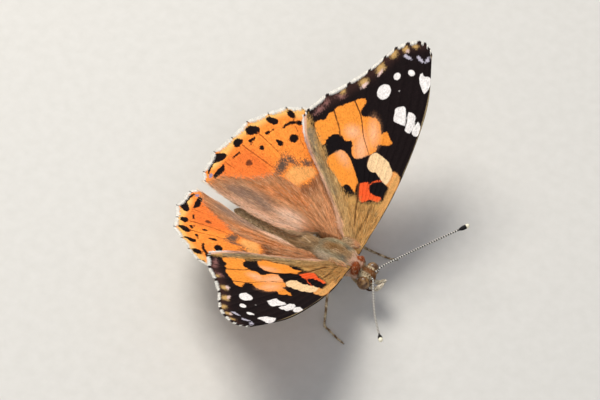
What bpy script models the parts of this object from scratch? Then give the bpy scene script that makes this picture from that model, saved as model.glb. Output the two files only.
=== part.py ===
"""Painted lady butterfly, life size, standing with its wings half open as when it basks.

The head points to -Y, the butterfly's left is +X and the floor is z = 0. The origin is on the
floor under the middle of the whole insect. Every piece is modelled in the body's own frame,
whose origin is midway between the forewing hinges, and hangs on one empty that lifts it there.
"""
from math import atan2, asin, cos, pi, radians, sin

import bmesh
import bpy
from mathutils import Matrix, Vector

MM = 0.001
GAP = 0.3                       # clearance between touching pieces

# Driving dimensions, in millimetres
HINGE_HEIGHT = 7.5              # forewing hinges above the floor
HINGE_SET_BACK = -6.25          # puts the middle of the insect's length on the origin
HINGE_SPREAD = 2.07             # half the distance between the forewing hinges
DIHEDRAL = radians(27.8)        # each wing rises this much from level

MEMBRANE = 0.50                 # wing thickness between the veins
VEIN_CREST = 0.74               # wing thickness at the crest of a vein
VEIN_FOOT = 0.30                # from a vein's crest to the foot of its ridge
SCALLOP = 0.30                  # hollow of the outer edge between two vein ends
WING_ROWS = 12                  # cross rows from root to outer edge

# Wing lines from root to outer edge, (span, back) from the hinge. The first is the leading edge,
# the last the inner edge, and those between are veins from front to back.
FORE_LEADING = [(0.10, -0.70), (8.0, -1.30), (15.5, -1.02), (23.0, 0.10), (30.1, 2.90)]
FORE_VEINS = {
    "subcosta": [(0.10, -0.50), (8.5, -0.55), (16.5, -0.20), (24.0, 1.00), (30.7, 3.60)],
    "radius_3": [(0.10, -0.35), (9.0, 0.15), (17.5, 0.80), (24.8, 2.20), (31.2, 4.40)],
    "radius_5": [(0.10, -0.20), (9.3, 0.90), (17.6, 1.90), (24.6, 3.40), (31.1, 5.40)],
    "media_1": [(0.10, -0.05), (9.5, 1.60), (17.4, 3.00), (24.2, 4.80), (30.2, 6.80)],
    "media_2": [(0.10, 0.10), (9.6, 2.30), (16.9, 4.00), (23.3, 6.10), (28.8, 8.05)],
    "media_3": [(0.10, 0.25), (9.6, 3.00), (16.3, 5.10), (22.2, 7.50), (26.9, 8.85)],
    "cubitus_1": [(0.10, 0.40), (9.3, 3.60), (15.2, 6.30), (20.2, 8.80), (24.2, 10.0)],
    "cubitus_2": [(0.10, 0.60), (8.3, 4.30), (13.4, 6.90), (17.9, 9.60), (21.2, 11.8)],
    "cubitus_3": [(0.10, 0.85), (6.7, 4.80), (11.4, 8.10), (15.3, 11.2), (18.4, 14.0)],
    "anal": [(0.10, 1.20), (5.2, 5.40), (9.0, 9.10), (12.3, 12.6), (15.2, 15.5)],
}
FORE_INNER = [(0.10, 1.50), (4.2, 5.60), (7.9, 9.90), (11.1, 13.6), (14.3, 15.6)]

HIND_LEADING = [(0.10, 2.00), (4.3, 3.50), (9.2, 6.80), (13.3, 10.7), (15.9, 14.7)]
HIND_VEINS = {
    "radius": [(0.10, 2.50), (4.4, 5.20), (8.6, 8.50), (12.3, 12.3), (15.5, 16.7)],
    "media_1": [(0.10, 3.00), (4.1, 6.70), (7.8, 10.3), (11.3, 14.4), (14.5, 18.7)],
    "media_2": [(0.10, 3.45), (3.7, 7.90), (6.8, 11.9), (9.7, 16.2), (12.6, 20.7)],
    "media_3": [(0.10, 3.90), (3.1, 8.80), (5.6, 13.1), (7.9, 17.9), (10.2, 22.9)],
    "cubitus_1": [(0.10, 4.35), (2.4, 9.30), (4.2, 14.0), (5.8, 19.0), (7.1, 23.8)],
    "cubitus_2": [(0.10, 4.75), (1.6, 9.60), (2.6, 14.5), (3.4, 19.8), (4.1, 25.1)],
    "anal": [(0.10, 5.10), (0.6, 9.70), (0.9, 14.6), (0.9, 20.0), (0.6, 24.9)],
}
# Inner edges, (span, back, rise above the forewing's plane). The left one laps over the abdomen.
HIND_INNER = {
    "left": [(0.10, 5.50, -0.95), (-1.85, 9.6, 1.92), (-2.05, 14.4, 1.80), (-1.35, 20.0, 1.40),
             (-0.5, 24.1, 1.16)],
    "right": [(0.10, 5.50, -0.95), (-0.30, 9.6, -0.40), (-0.30, 14.4, -0.30), (-0.60, 20.0, 0.50),
              (-0.5, 24.1, 1.16)],
}
HIND_UNDER = -1.08              # rise of the hindwing where the forewing lies over it
HIND_OPEN = -0.15               # rise where it comes out from under the forewing
HIND_RAMP = (0.2, 3.6)          # this change happens between these distances from the forewing
HIND_DROOP = -0.35              # the outer edge hangs below the rest
DROOP_SHARES = (0.7, 1.0)       # from root to outer edge
DROOP_SPANS = (3.0, 8.0)
DROOP_BEYOND = (1.0, 4.0)       # distances from the forewing
HIND_FOLD = 4.2                 # span where the inner part starts to bend up beside the abdomen
FOLD_SHARE = 0.35               # the fold reaches that span at this share from the root
ROOT_SPAN = 0.1                 # where the wings' lines start
FORE_EDGE_OFFSET = 1.35         # the forewing's inner edge runs at back = span + this

# Body sections from front to back: (back, centre height, half width, half height)
HEAD = [(-4.15, -2.25, 0, 0), (-3.90, -2.20, 0.95, 0.95), (-3.20, -2.10, 1.40, 1.32),
        (-2.55, -2.05, 1.35, 1.25), (-2.25, -2.00, 0, 0)]
COLLAR = [(-1.96, -1.55, 0, 0), (-1.86, -1.55, 1.25, 1.15), (-1.45, -1.50, 1.80, 1.60),
          (-1.05, -1.50, 1.80, 1.72), (-0.86, -1.50, 0, 0)]
THORAX = [(-0.56, -1.55, 0, 0), (-0.38, -1.55, 1.55, 1.70), (0.55, -1.50, 2.00, 2.20),
          (2.10, -1.50, 2.15, 2.38), (3.60, -1.58, 2.10, 2.20), (4.85, -1.62, 1.75, 1.80),
          (5.25, -1.60, 0, 0)]
ABDOMEN = [(5.55, -1.50, 0, 0), (5.75, -1.50, 1.15, 1.10), (7.60, -1.50, 1.55, 1.40),
           (10.2, -1.45, 1.60, 1.45), (13.0, -1.40, 1.45, 1.40), (15.6, -1.30, 1.15, 1.15),
           (17.6, -1.20, 0.70, 0.75), (18.5, -1.15, 0, 0)]
ABDOMEN_RINGS = 7               # visible rings, each a shallow swelling
RING_SWELL = 0.05
SQUARE = 2.5                    # exponent of the thorax's rounded-square section

EYE_PLACE = (1.50, -3.00, -2.20)
EYE_SIZE = (0.75, 0.92, 1.00)   # half sizes
PALP_PATH = [(0.62, -3.95, -3.56), (0.66, -4.55, -3.45), (0.60, -5.12, -2.80), (0.34, -5.54, -1.98)]
PALP_RADII = [0.26, 0.34, 0.32, 0.13]
TONGUE_CENTRE = (0.0, -3.45, -4.55)
TONGUE_OUTER = 0.78             # radius of the coil's outer turn
TONGUE_TURNS = 1.15
TONGUE_PITCH = 0.62             # from turn to turn
TONGUE_CORE = 0.12              # the coil's tightest radius
TONGUE_START = radians(80)      # where the coil leaves the face
TONGUE_RADIUS = 0.22
TONGUE_STEPS = 20

ANTENNA_PATHS = {               # from the front of the head outward, spread a little unevenly
    "left": [(0.50, -4.44, -1.38), (1.25, -4.30, -0.45), (5.15, -6.85, 0.15), (8.70, -9.45, 1.00),
             (12.6, -12.4, 1.95)],
    "right": [(0.50, -4.44, -1.38), (1.75, -4.50, -1.38), (5.75, -6.55, -0.60), (8.70, -8.20, 0.35),
              (12.4, -10.6, 1.70)],
}
ANTENNA_SHAFT = 0.25            # radius
ANTENNA_CLUB = 0.44
ANTENNA_TIP = 0.26
ANTENNA_STEPS = 14
CLUB_SHARES = (0.84, 0.93)      # the club swells between these shares of the antenna's length

# Legs: hip, knee, ankle, ball and tip of the foot, with the sole on the floor
LEGS = {
    "midleg": [(1.15, 1.70, -4.32), (4.90, 0.90, -2.90), (7.80, -0.50, -6.70), (8.40, -2.90, -7.33),
               (8.75, -4.10, -7.33)],
    "hindleg": [(1.10, 3.95, -4.20), (4.30, 7.30, -3.10), (6.40, 11.0, -6.70), (7.00, 13.5, -7.33),
                (7.35, 14.8, -7.33)],
}
LEG_RADII = [0.34, 0.30, 0.26, 0.21, 0.20]
LEG_STOPS = (0.06, 0.5, 0.94)   # each leg piece is straight between these shares of its length
FORELEG_PATH = [(0.44, -1.05, -3.76), (0.62, -1.75, -3.84), (0.86, -2.35, -3.88), (0.84, -2.98, -3.98)]
FORELEG_RADII = [0.26, 0.28, 0.26, 0.16]
PALP_STEPS = 7
FORELEG_STEPS = 8
TINY = 1e-4                     # anything shorter counts as one point, in units of the mesh
WELD = 1e-7                     # the same in metres

COLOURS = {
    "wing": (0.86, 0.33, 0.08), "thorax": (0.30, 0.22, 0.11), "abdomen": (0.34, 0.24, 0.13),
    "collar": (0.28, 0.10, 0.05), "head": (0.24, 0.13, 0.07), "eye": (0.20, 0.11, 0.06),
    "palp": (0.55, 0.42, 0.30), "tongue": (0.10, 0.05, 0.03), "antenna": (0.45, 0.42, 0.36),
    "leg": (0.50, 0.38, 0.25),
}
ROUGHNESS = {"eye": 0.25, "tongue": 0.45, "antenna": 0.60}


def clear_scene():
    for old in list(bpy.data.objects):
        bpy.data.objects.remove(old, do_unlink=True)


def material(kind):
    """Plain finish of one kind of piece, made once."""
    finish = bpy.data.materials.get(kind) or bpy.data.materials.new(kind)
    finish.use_nodes = True
    shader = finish.node_tree.nodes["Principled BSDF"]
    shader.inputs["Base Color"].default_value = (*COLOURS[kind], 1.0)
    shader.inputs["Roughness"].default_value = ROUGHNESS.get(kind, 0.85)
    shader.inputs["Metallic"].default_value = 0.0
    return finish


def add_piece(name, data, kind, parts, body):
    """Put a mesh or curve in the butterfly's collection, hung on the body's empty."""
    piece = bpy.data.objects.new(name, data)
    data.materials.append(material(kind))
    parts.objects.link(piece)
    piece.parent = body
    return piece


def through(points, share):
    """Point at a share (0 to 1) of the smooth curve that passes through all the points."""
    spans = len(points) - 1
    place = min(max(share, 0.0), 1.0) * spans
    first = min(int(place), spans - 1)
    t = place - first
    p1 = Vector(points[first])
    p2 = Vector(points[first + 1])
    p0 = Vector(points[first - 1]) if first else 2 * p1 - p2
    p3 = Vector(points[first + 2]) if first + 2 <= spans else 2 * p2 - p1
    return 0.5 * (2 * p1 + (p2 - p0) * t + (2 * p0 - 5 * p1 + 4 * p2 - p3) * t ** 2
                  + (3 * p1 - p0 - 3 * p2 + p3) * t ** 3)


def ease(value, start, end):
    """Smooth step from 0 at start to 1 at end."""
    t = min(max((value - start) / (end - start), 0.0), 1.0)
    return t * t * (3 - 2 * t)


def mix(first, second, share):
    return first + (second - first) * share


def wing_row(lines, share):
    """One cross row of a wing: (point, ridge) pairs from the leading to the inner edge.

    Between two lines come the foot of the first ridge, a point of the membrane and the foot of
    the next ridge, so that each vein is raised in the wing's own surface.
    """
    here = [through(line, share) for line in lines]
    row = []
    for index in range(len(lines) - 1):
        width = (here[index + 1] - here[index]).length
        foot = min(VEIN_FOOT / max(width, 1e-6), 0.3)
        row.append((here[index], 1.0))
        for across in (foot, 0.5, 1.0 - foot):
            depth = SCALLOP * min(width / 2.0, 1.0) * 4 * across * (1 - across) * share ** 8
            back = share - depth / line_length(lines[index])
            first = through(lines[index], back)
            second = through(lines[index + 1], back)
            row.append((mix(first, second, across), 0.0))
    row.append((here[-1], 0.0))
    return row


def line_length(line):
    return (Vector(line[-1]) - Vector(line[0])).length


def add_wing(name, side, lines, rise, parts, body):
    """Wing of two matching faces with a rim, in a frame that lies in the forewing's plane."""
    rows = [wing_row(lines, step / (WING_ROWS - 1)) for step in range(WING_ROWS)]
    columns = len(rows[0])
    mesh = bpy.data.meshes.new(name)
    sheet = bmesh.new()
    bmesh.ops.create_grid(sheet, x_segments=columns - 1, y_segments=WING_ROWS - 1, size=1.0)
    sheet.verts.ensure_lookup_table()
    ridges = {}
    for vert in sheet.verts:
        column = round((vert.co.x + 1) / 2 * (columns - 1))
        step = round((vert.co.y + 1) / 2 * (WING_ROWS - 1))
        point, ridge = rows[step][column]
        height = rise(point, step / (WING_ROWS - 1))
        vert.co = Vector((side * point.x, point.y, height)) * MM
        ridges[vert.index] = ridge
    bmesh.ops.triangulate(sheet, faces=sheet.faces[:])
    bmesh.ops.recalc_face_normals(sheet, faces=sheet.faces[:])
    if sum(face.normal.z for face in sheet.faces) < 0:
        bmesh.ops.reverse_faces(sheet, faces=sheet.faces[:])
    sheet.to_mesh(mesh)
    sheet.free()
    wing = add_piece(name, mesh, "wing", parts, body)
    wing.location = Vector((side * HINGE_SPREAD, 0, 0)) * MM
    wing.rotation_euler = (0, -side * DIHEDRAL, 0)
    veins = wing.vertex_groups.new(name="veins")
    for index, ridge in ridges.items():
        veins.add([index], ridge, "REPLACE")
    solid = wing.modifiers.new("thickness", "SOLIDIFY")
    solid.thickness = VEIN_CREST * MM
    solid.thickness_vertex_group = MEMBRANE / VEIN_CREST
    solid.vertex_group = "veins"
    solid.offset = 0.0
    solid.use_rim = True
    return wing


def fore_rise(point, share):
    return 0.0


def hind_rise(edge):
    """Height of a hindwing over the forewing's plane, for the given inner edge."""
    def rise(point, share):
        beyond = (point.y - point.x - FORE_EDGE_OFFSET) / 2 ** 0.5
        height = mix(HIND_UNDER, HIND_OPEN, ease(beyond, *HIND_RAMP))
        droop = ease(share, *DROOP_SHARES) * ease(point.x, *DROOP_SPANS) * ease(beyond, *DROOP_BEYOND)
        height += HIND_DROOP * droop
        inner = through(edge, share)
        fold = HIND_FOLD * ease(share, 0.0, FOLD_SHARE) + ROOT_SPAN
        lap = ease(fold - point.x, 0.0, fold - inner.x)
        return mix(height, inner.z, lap)
    return rise


def add_body(name, kind, sections, parts, body, segments=16, rings=10, square=2.0, swell=None):
    """Closed rounded body along Y whose section follows the given half widths and heights."""
    mesh = bpy.data.meshes.new(name)
    shape = bmesh.new()
    bmesh.ops.create_uvsphere(shape, u_segments=segments, v_segments=rings, radius=1.0,
                              matrix=Matrix.Rotation(radians(-90), 4, "X"))
    for vert in shape.verts:
        share = 0.5 + asin(max(-1.0, min(1.0, vert.co.y))) / pi
        section = through([Vector(values) for values in sections], share)
        back, height, half_width, half_height = section
        angle = atan2(vert.co.z, vert.co.x)
        reach = swell(share) if swell else 1.0
        if vert.co.xz.length < TINY:
            reach = 0.0
        across = rounded(cos(angle), square) * half_width * reach
        up = rounded(sin(angle), square) * half_height * reach
        vert.co = Vector((across, back, height + up)) * MM
    bmesh.ops.recalc_face_normals(shape, faces=shape.faces[:])
    shape.to_mesh(mesh)
    shape.free()
    for face in mesh.polygons:
        face.use_smooth = True
    return add_piece(name, mesh, kind, parts, body)


def rounded(value, square):
    """Superellipse: a plain ellipse at square = 2, boxier above."""
    return (abs(value) ** (2.0 / square)) * (1 if value >= 0 else -1)


def ring_swell(share):
    """The abdomen's rings stand out a little between their joints."""
    return 1.0 + RING_SWELL * (abs(sin(pi * ABDOMEN_RINGS * share)) - 0.6)


def add_eye(name, side, parts, body):
    bm = bmesh.new()
    bmesh.ops.create_uvsphere(bm, u_segments=12, v_segments=8, radius=MM)
    bmesh.ops.scale(bm, vec=EYE_SIZE, verts=bm.verts[:])
    mesh = bpy.data.meshes.new(name)
    bm.to_mesh(mesh)
    bm.free()
    for face in mesh.polygons:
        face.use_smooth = True
    eye = add_piece(name, mesh, "eye", parts, body)
    eye.location = Vector((side * EYE_PLACE[0], EYE_PLACE[1], EYE_PLACE[2])) * MM
    return eye


def cut_sockets(head, body, cutters):
    """Hollow the sides of the head, so that each eye sits in its socket with the usual gap."""
    for side in (1, -1):
        bm = bmesh.new()
        bmesh.ops.create_uvsphere(bm, u_segments=16, v_segments=10, radius=MM)
        bmesh.ops.scale(bm, vec=[half + GAP for half in EYE_SIZE], verts=bm.verts[:])
        mesh = bpy.data.meshes.new("socket")
        bm.to_mesh(mesh)
        bm.free()
        socket = bpy.data.objects.new("socket", mesh)
        cutters.objects.link(socket)
        socket.parent = body
        socket.location = Vector((side * EYE_PLACE[0], EYE_PLACE[1], EYE_PLACE[2])) * MM
        socket.hide_render = True
        socket.display_type = "WIRE"
        cut = head.modifiers.new("socket", "BOOLEAN")
        cut.operation = "DIFFERENCE"
        cut.solver = "EXACT"
        cut.object = socket


def add_tube(name, kind, points, radii, parts, body, sides=2):
    """Tube with filled ends through the points, its radius following the given radii."""
    curve = bpy.data.curves.new(name, "CURVE")
    curve.dimensions = "3D"
    curve.bevel_depth = MM
    curve.bevel_resolution = sides
    curve.use_fill_caps = True
    curve.twist_mode = "MINIMUM"
    spline = curve.splines.new("POLY")
    spline.points.add(len(points) - 1)
    for vertex, place, radius in zip(spline.points, points, radii):
        vertex.co = (*(Vector(place) * MM), 1.0)
        vertex.radius = radius
    return add_piece(name, curve, kind, parts, body)


def resample(path, radii, count):
    """Points and radii at equal steps of the smooth curve through a path."""
    shares = [step / (count - 1) for step in range(count)]
    points = [through(path, share) for share in shares]
    widths = [through([(radius, 0) for radius in radii], share).x for share in shares]
    return points, widths


def mirrored(path, side):
    return [(side * x, y, z) for x, y, z in path]


def add_antenna(word, side, parts, body):
    """Slender shaft with a club at its end."""
    path = mirrored(ANTENNA_PATHS[word], side)
    shares = [step / (ANTENNA_STEPS - 1) for step in range(ANTENNA_STEPS)]
    points = [through(path, share) for share in shares]
    radii = [mix(ANTENNA_SHAFT, ANTENNA_CLUB, ease(share, *CLUB_SHARES)) for share in shares]
    radii[-1] = ANTENNA_TIP
    return add_tube(f"antenna_{word}", "antenna", points, radii, parts, body, sides=1)


def add_tongue(parts, body):
    """Coiled proboscis under the face, in the middle plane."""
    across, back, height = TONGUE_CENTRE
    points = []
    for step in range(TONGUE_STEPS):
        turns = TONGUE_TURNS * step / (TONGUE_STEPS - 1)
        angle = TONGUE_START + turns * 2 * pi
        radius = max(TONGUE_OUTER - TONGUE_PITCH * turns, TONGUE_CORE)
        points.append((across, back - radius * cos(angle), height + radius * sin(angle)))
    radii = [TONGUE_RADIUS] * TONGUE_STEPS
    return add_tube("proboscis", "tongue", points, radii, parts, body, sides=1)


def leg_path(joints):
    """Straight thigh, shank and foot with short bends between them."""
    points = []
    radii = []
    for index in range(len(joints) - 1):
        start = Vector(joints[index])
        end = Vector(joints[index + 1])
        for share in LEG_STOPS:
            points.append(start.lerp(end, share))
            radii.append(mix(LEG_RADII[index], LEG_RADII[index + 1], share))
    points[0] = Vector(joints[0])
    points[-1] = Vector(joints[-1])
    return points, radii


def add_leg(name, side, joints, parts, body):
    """Leg as a tube whose foot lies on the floor, cut to a small flat sole."""
    points, radii = leg_path(mirrored(joints, side))
    tube = add_tube(name, "leg", points, radii, parts, body, sides=2)
    bpy.context.view_layer.update()
    mesh = bpy.data.meshes.new_from_object(tube.evaluated_get(bpy.context.evaluated_depsgraph_get()))
    curve = tube.data
    bpy.data.objects.remove(tube, do_unlink=True)
    bpy.data.curves.remove(curve)
    bm = bmesh.new()
    bm.from_mesh(mesh)
    bmesh.ops.remove_doubles(bm, verts=bm.verts[:], dist=WELD)
    floor = Vector((0, 0, -HINGE_HEIGHT)) * MM
    bmesh.ops.bisect_plane(bm, geom=bm.verts[:] + bm.edges[:] + bm.faces[:], dist=WELD / 10,
                           plane_co=floor, plane_no=(0, 0, -1), clear_outer=True)
    rim = [edge for edge in bm.edges if edge.is_boundary]
    bmesh.ops.holes_fill(bm, edges=rim)
    bmesh.ops.recalc_face_normals(bm, faces=bm.faces[:])
    bm.to_mesh(mesh)
    bm.free()
    mesh.name = name
    mesh.materials.clear()
    return add_piece(name, mesh, "leg", parts, body)


def build():
    clear_scene()
    parts = bpy.data.collections.new("painted_lady")
    cutters = bpy.data.collections.new("cutters")
    bpy.context.scene.collection.children.link(parts)
    bpy.context.scene.collection.children.link(cutters)
    body = bpy.data.objects.new("body_frame", None)
    body.location = Vector((0, HINGE_SET_BACK, HINGE_HEIGHT)) * MM
    parts.objects.link(body)

    head = add_body("head", "head", HEAD, parts, body, segments=16, rings=8)
    cut_sockets(head, body, cutters)
    add_body("prothorax", "collar", COLLAR, parts, body, segments=14, rings=6)
    add_body("thorax", "thorax", THORAX, parts, body, segments=18, rings=12, square=SQUARE)
    add_body("abdomen", "abdomen", ABDOMEN, parts, body, segments=14, rings=28, swell=ring_swell)
    add_tongue(parts, body)

    fore_lines = [FORE_LEADING, *FORE_VEINS.values(), FORE_INNER]
    for word, side in (("left", 1), ("right", -1)):
        inner = HIND_INNER[word]
        hind_lines = [HIND_LEADING, *HIND_VEINS.values(), [place[:2] for place in inner]]
        add_wing(f"forewing_{word}", side, fore_lines, fore_rise, parts, body)
        add_wing(f"hindwing_{word}", side, hind_lines, hind_rise(inner), parts, body)
        add_eye(f"eye_{word}", side, parts, body)
        add_antenna(word, side, parts, body)
        points, radii = resample(mirrored(PALP_PATH, side), PALP_RADII, PALP_STEPS)
        add_tube(f"palp_{word}", "palp", points, radii, parts, body)
        points, radii = resample(mirrored(FORELEG_PATH, side), FORELEG_RADII, FORELEG_STEPS)
        add_tube(f"foreleg_{word}", "leg", points, radii, parts, body, sides=1)
        for leg, joints in LEGS.items():
            add_leg(f"{leg}_{word}", side, joints, parts, body)


build()
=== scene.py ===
"""Looks of the painted lady butterfly: marked and fringed wings, furry body, eyes, feelers and legs.

Sizes are in millimetres until a mesh is placed. The body's own frame starts midway between the
forewing hinges, with the butterfly's left at +X, its tail at +Y and up at +Z. A wing's own plane
is measured from its hinge, as span outward and back towards the tail.
"""
from math import cos, pi, radians, sin, sqrt

import bmesh
import bpy
import numpy as np
from mathutils import Matrix, Vector


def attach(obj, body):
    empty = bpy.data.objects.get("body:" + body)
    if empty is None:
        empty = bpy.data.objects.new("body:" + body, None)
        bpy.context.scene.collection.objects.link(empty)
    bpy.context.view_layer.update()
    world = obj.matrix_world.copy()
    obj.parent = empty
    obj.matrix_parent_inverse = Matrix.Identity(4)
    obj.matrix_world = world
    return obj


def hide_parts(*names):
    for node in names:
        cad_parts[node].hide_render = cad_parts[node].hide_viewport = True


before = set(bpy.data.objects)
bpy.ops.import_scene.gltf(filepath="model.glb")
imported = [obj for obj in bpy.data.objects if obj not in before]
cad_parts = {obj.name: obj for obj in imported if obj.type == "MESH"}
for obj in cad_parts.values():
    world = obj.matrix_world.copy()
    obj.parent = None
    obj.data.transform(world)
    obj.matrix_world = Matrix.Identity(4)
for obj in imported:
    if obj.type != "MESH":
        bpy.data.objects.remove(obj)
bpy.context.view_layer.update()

MM = 0.001
RNG = np.random.default_rng(21)

# The wings' hinges and tilt, as in the solids
HINGE = np.array([0.0, -6.25, 7.5])
HINGE_SPREAD = 2.07
DIHEDRAL = radians(27.8)

# Camera, at the photograph's viewing angle
VIEW_AIM = (2.284, 3.428, 11.745)
VIEW_AZIMUTH = -70.33
VIEW_ELEVATION = 50.26
VIEW_ROLL = 9.11
VIEW_DISTANCE = 600.0
LENS = 255.6
SENSOR = 36.0


def srgb(red, green, blue):
    """A colour given as screen values from 0 to 255, as linear light."""
    values = [value / 255 for value in (red, green, blue)]
    return tuple(v / 12.92 if v <= 0.04045 else ((v + 0.055) / 1.055) ** 2.4 for v in values) + (1.0,)


def tone(red, green, blue):
    """The same colour for hairs and skin, without its alpha."""
    return np.array(srgb(red, green, blue)[:3])


class Value:
    """A number or colour on its way through a material. Its operators add Math nodes."""

    def __init__(self, finish, socket):
        self.finish = finish
        self.socket = socket

    def math(self, operation, first, second):
        return self.finish.node("Math", {"operation": operation}, {0: first, 1: second})

    def __add__(self, other):
        return self.math("ADD", self, other)

    def __sub__(self, other):
        return self.math("SUBTRACT", self, other)

    def __mul__(self, other):
        return self.math("MULTIPLY", self, other)

    def __rsub__(self, other):
        return self.math("SUBTRACT", other, self)

    __radd__ = __add__
    __rmul__ = __mul__


class Finish:
    """One procedural material, with a Principled shader at its end."""

    def __init__(self, name, roughness=0.7, shine=0.2):
        self.material = bpy.data.materials.new(name)
        self.material.use_nodes = True
        self.tree = self.material.node_tree
        self.shader = self.tree.nodes["Principled BSDF"]
        self.shader.inputs["Roughness"].default_value = roughness
        self.shader.inputs["Specular IOR Level"].default_value = shine

    def node(self, kind, settings, inputs, output=0):
        made = self.tree.nodes.new("ShaderNode" + kind)
        for name, value in settings.items():
            setattr(made, name, value)
        for key, value in inputs.items():
            if isinstance(value, Value):
                self.tree.links.new(value.socket, made.inputs[key])
            else:
                made.inputs[key].default_value = value
        return Value(self, made.outputs[output])

    def attribute(self, name, output="Fac"):
        return self.node("Attribute", {"attribute_name": name}, {}, output)

    def place(self):
        """Object coordinates in millimetres."""
        where = self.node("TexCoord", {}, {}, "Object")
        return self.node("VectorMath", {"operation": "SCALE"}, {0: where, "Scale": 1 / MM})

    def stretched(self, vector, across, along):
        return self.node("VectorMath", {"operation": "MULTIPLY"}, {0: vector, 1: (across, along, 1.0)})

    def noise(self, vector, scale, detail=2.0, roughness=0.5):
        return self.node("TexNoise", {}, {"Vector": vector, "Scale": scale, "Detail": detail,
                                          "Roughness": roughness})

    def cells(self, vector, scale, output="Color"):
        return self.node("TexVoronoi", {}, {"Vector": vector, "Scale": scale}, output)

    def scales(self, vector, scale=1.0):
        """A level of its own for each scale, from 0 to 1."""
        return self.node("SeparateColor", {}, {0: self.cells(vector, scale)})

    def smooth(self, value, low, high, to_low=0.0, to_high=1.0):
        return self.node("MapRange", {"interpolation_type": "SMOOTHSTEP"},
                         {0: value, 1: low, 2: high, 3: to_low, 4: to_high})

    def bands(self, value):
        """Up from 0 to 0.5 and back for each step of 1."""
        return self.node("Math", {"operation": "PINGPONG"}, {0: value, 1: 0.5})

    def blend(self, share, first, second):
        return self.node("Mix", {"data_type": "RGBA"}, {0: share, 6: first, 7: second}, 2)

    def shade(self, colour, share, dark, light):
        """The colour dimmed or lifted by a share from 0 to 1."""
        factor = self.smooth(share, 0.0, 1.0, dark, light)
        return self.node("VectorMath", {"operation": "SCALE"}, {0: colour, "Scale": factor})

    def bump(self, height, strength, distance):
        return self.node("Bump", {}, {"Height": height, "Strength": strength, "Distance": distance * MM})

    def finish(self, colour, bump=None):
        self.tree.links.new(colour.socket, self.shader.inputs["Base Color"])
        if bump:
            self.tree.links.new(bump.socket, self.shader.inputs["Normal"])
        return self.material


def ease(value, start, end):
    """Smooth step from 0 at start to 1 at end, also for arrays."""
    t = np.clip((value - start) / (end - start), 0.0, 1.0)
    return t * t * (3 - 2 * t)


def mix(first, second, share):
    return first + (second - first) * share


def unit(vectors):
    return vectors / np.maximum(np.linalg.norm(vectors, axis=1), 1e-12)[:, None]


def reach_along(line):
    """Distance travelled along a line at each of its points."""
    return np.append(0.0, np.cumsum(np.linalg.norm(np.diff(line, axis=0), axis=1)))


def rounded_ends(share, power):
    """1 along a limb and 0 at both its ends; a higher power keeps it full for longer."""
    return np.sqrt(np.clip(1 - (2 * share - 1) ** power, 0, 1))


def through(points, shares):
    """Places at the given shares (0 to 1) of the smooth curve that passes through all the points."""
    knots = np.array(points, float)
    spans = len(knots) - 1
    knots = np.vstack([2 * knots[0] - knots[1], knots, 2 * knots[-1] - knots[-2]])
    place = np.clip(np.asarray(shares, float), 0.0, 1.0) * spans
    first = np.minimum(place.astype(int), spans - 1)
    t = (place - first)[..., None]
    p0, p1, p2, p3 = (knots[first + step] for step in range(4))
    return 0.5 * (2 * p1 + (p2 - p0) * t + (2 * p0 - 5 * p1 + 4 * p2 - p3) * t ** 2
                  + (3 * p1 - p0 - 3 * p2 + p3) * t ** 3)


# Marks on a wing's plane. Each gives how far a spot lies outside it, negative inside.

def to_line(spots, line, radii):
    """Distance from spots to a chain of points that has a radius at each."""
    least = np.full(len(spots), 1e9)
    for start, end, wide, narrow in zip(line[:-1], line[1:], radii[:-1], radii[1:]):
        step = end - start
        t = np.clip((spots - start) @ step / max(step @ step, 1e-9), 0, 1)
        away = np.linalg.norm(spots - start - t[:, None] * step, axis=1)
        least = np.minimum(least, away - mix(wide, narrow, t))
    return least


def blob(*corners):
    """A closed rounded outline through its corners."""
    def away(spots):
        knots = np.array(corners * 3, float)
        count = len(corners)
        shares = np.linspace(count / (3 * count - 1), 2 * count / (3 * count - 1), 6 * count + 1)
        rim = through(knots, shares)
        least = to_line(spots, rim, np.zeros(len(rim)))
        inside = np.zeros(len(spots), bool)
        for (x1, y1), (x2, y2) in zip(rim[:-1], rim[1:]):
            over = (y1 > spots[:, 1]) != (y2 > spots[:, 1])
            inside ^= over & (spots[:, 0] < (x2 - x1) * (spots[:, 1] - y1) / (y2 - y1 + 1e-12) + x1)
        return np.where(inside, -least, least)
    return away


def oval(span, back, half_span, half_back, turn=0.0):
    def away(spots):
        x, y = (spots - (span, back)).T
        c, s = cos(radians(turn)), sin(radians(turn))
        reach = np.hypot((c * x + s * y) / half_span, (c * y - s * x) / half_back)
        return (reach - 1) * min(half_span, half_back)
    return away


def stroke(points, start, end=None):
    """A line of the given half width, which may change towards its end."""
    def away(spots):
        steps = 4 * len(points)
        line = through(points, np.linspace(0, 1, steps))
        return to_line(spots, line, np.linspace(start, start if end is None else end, steps))
    return away


NOWHERE = [oval(-99.0, -99.0, 1.0, 1.0)]        # stands for a mark that a face doesn't have


def nearest(marks, spots):
    return np.min([mark(spots) for mark in marks], axis=0)


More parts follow.
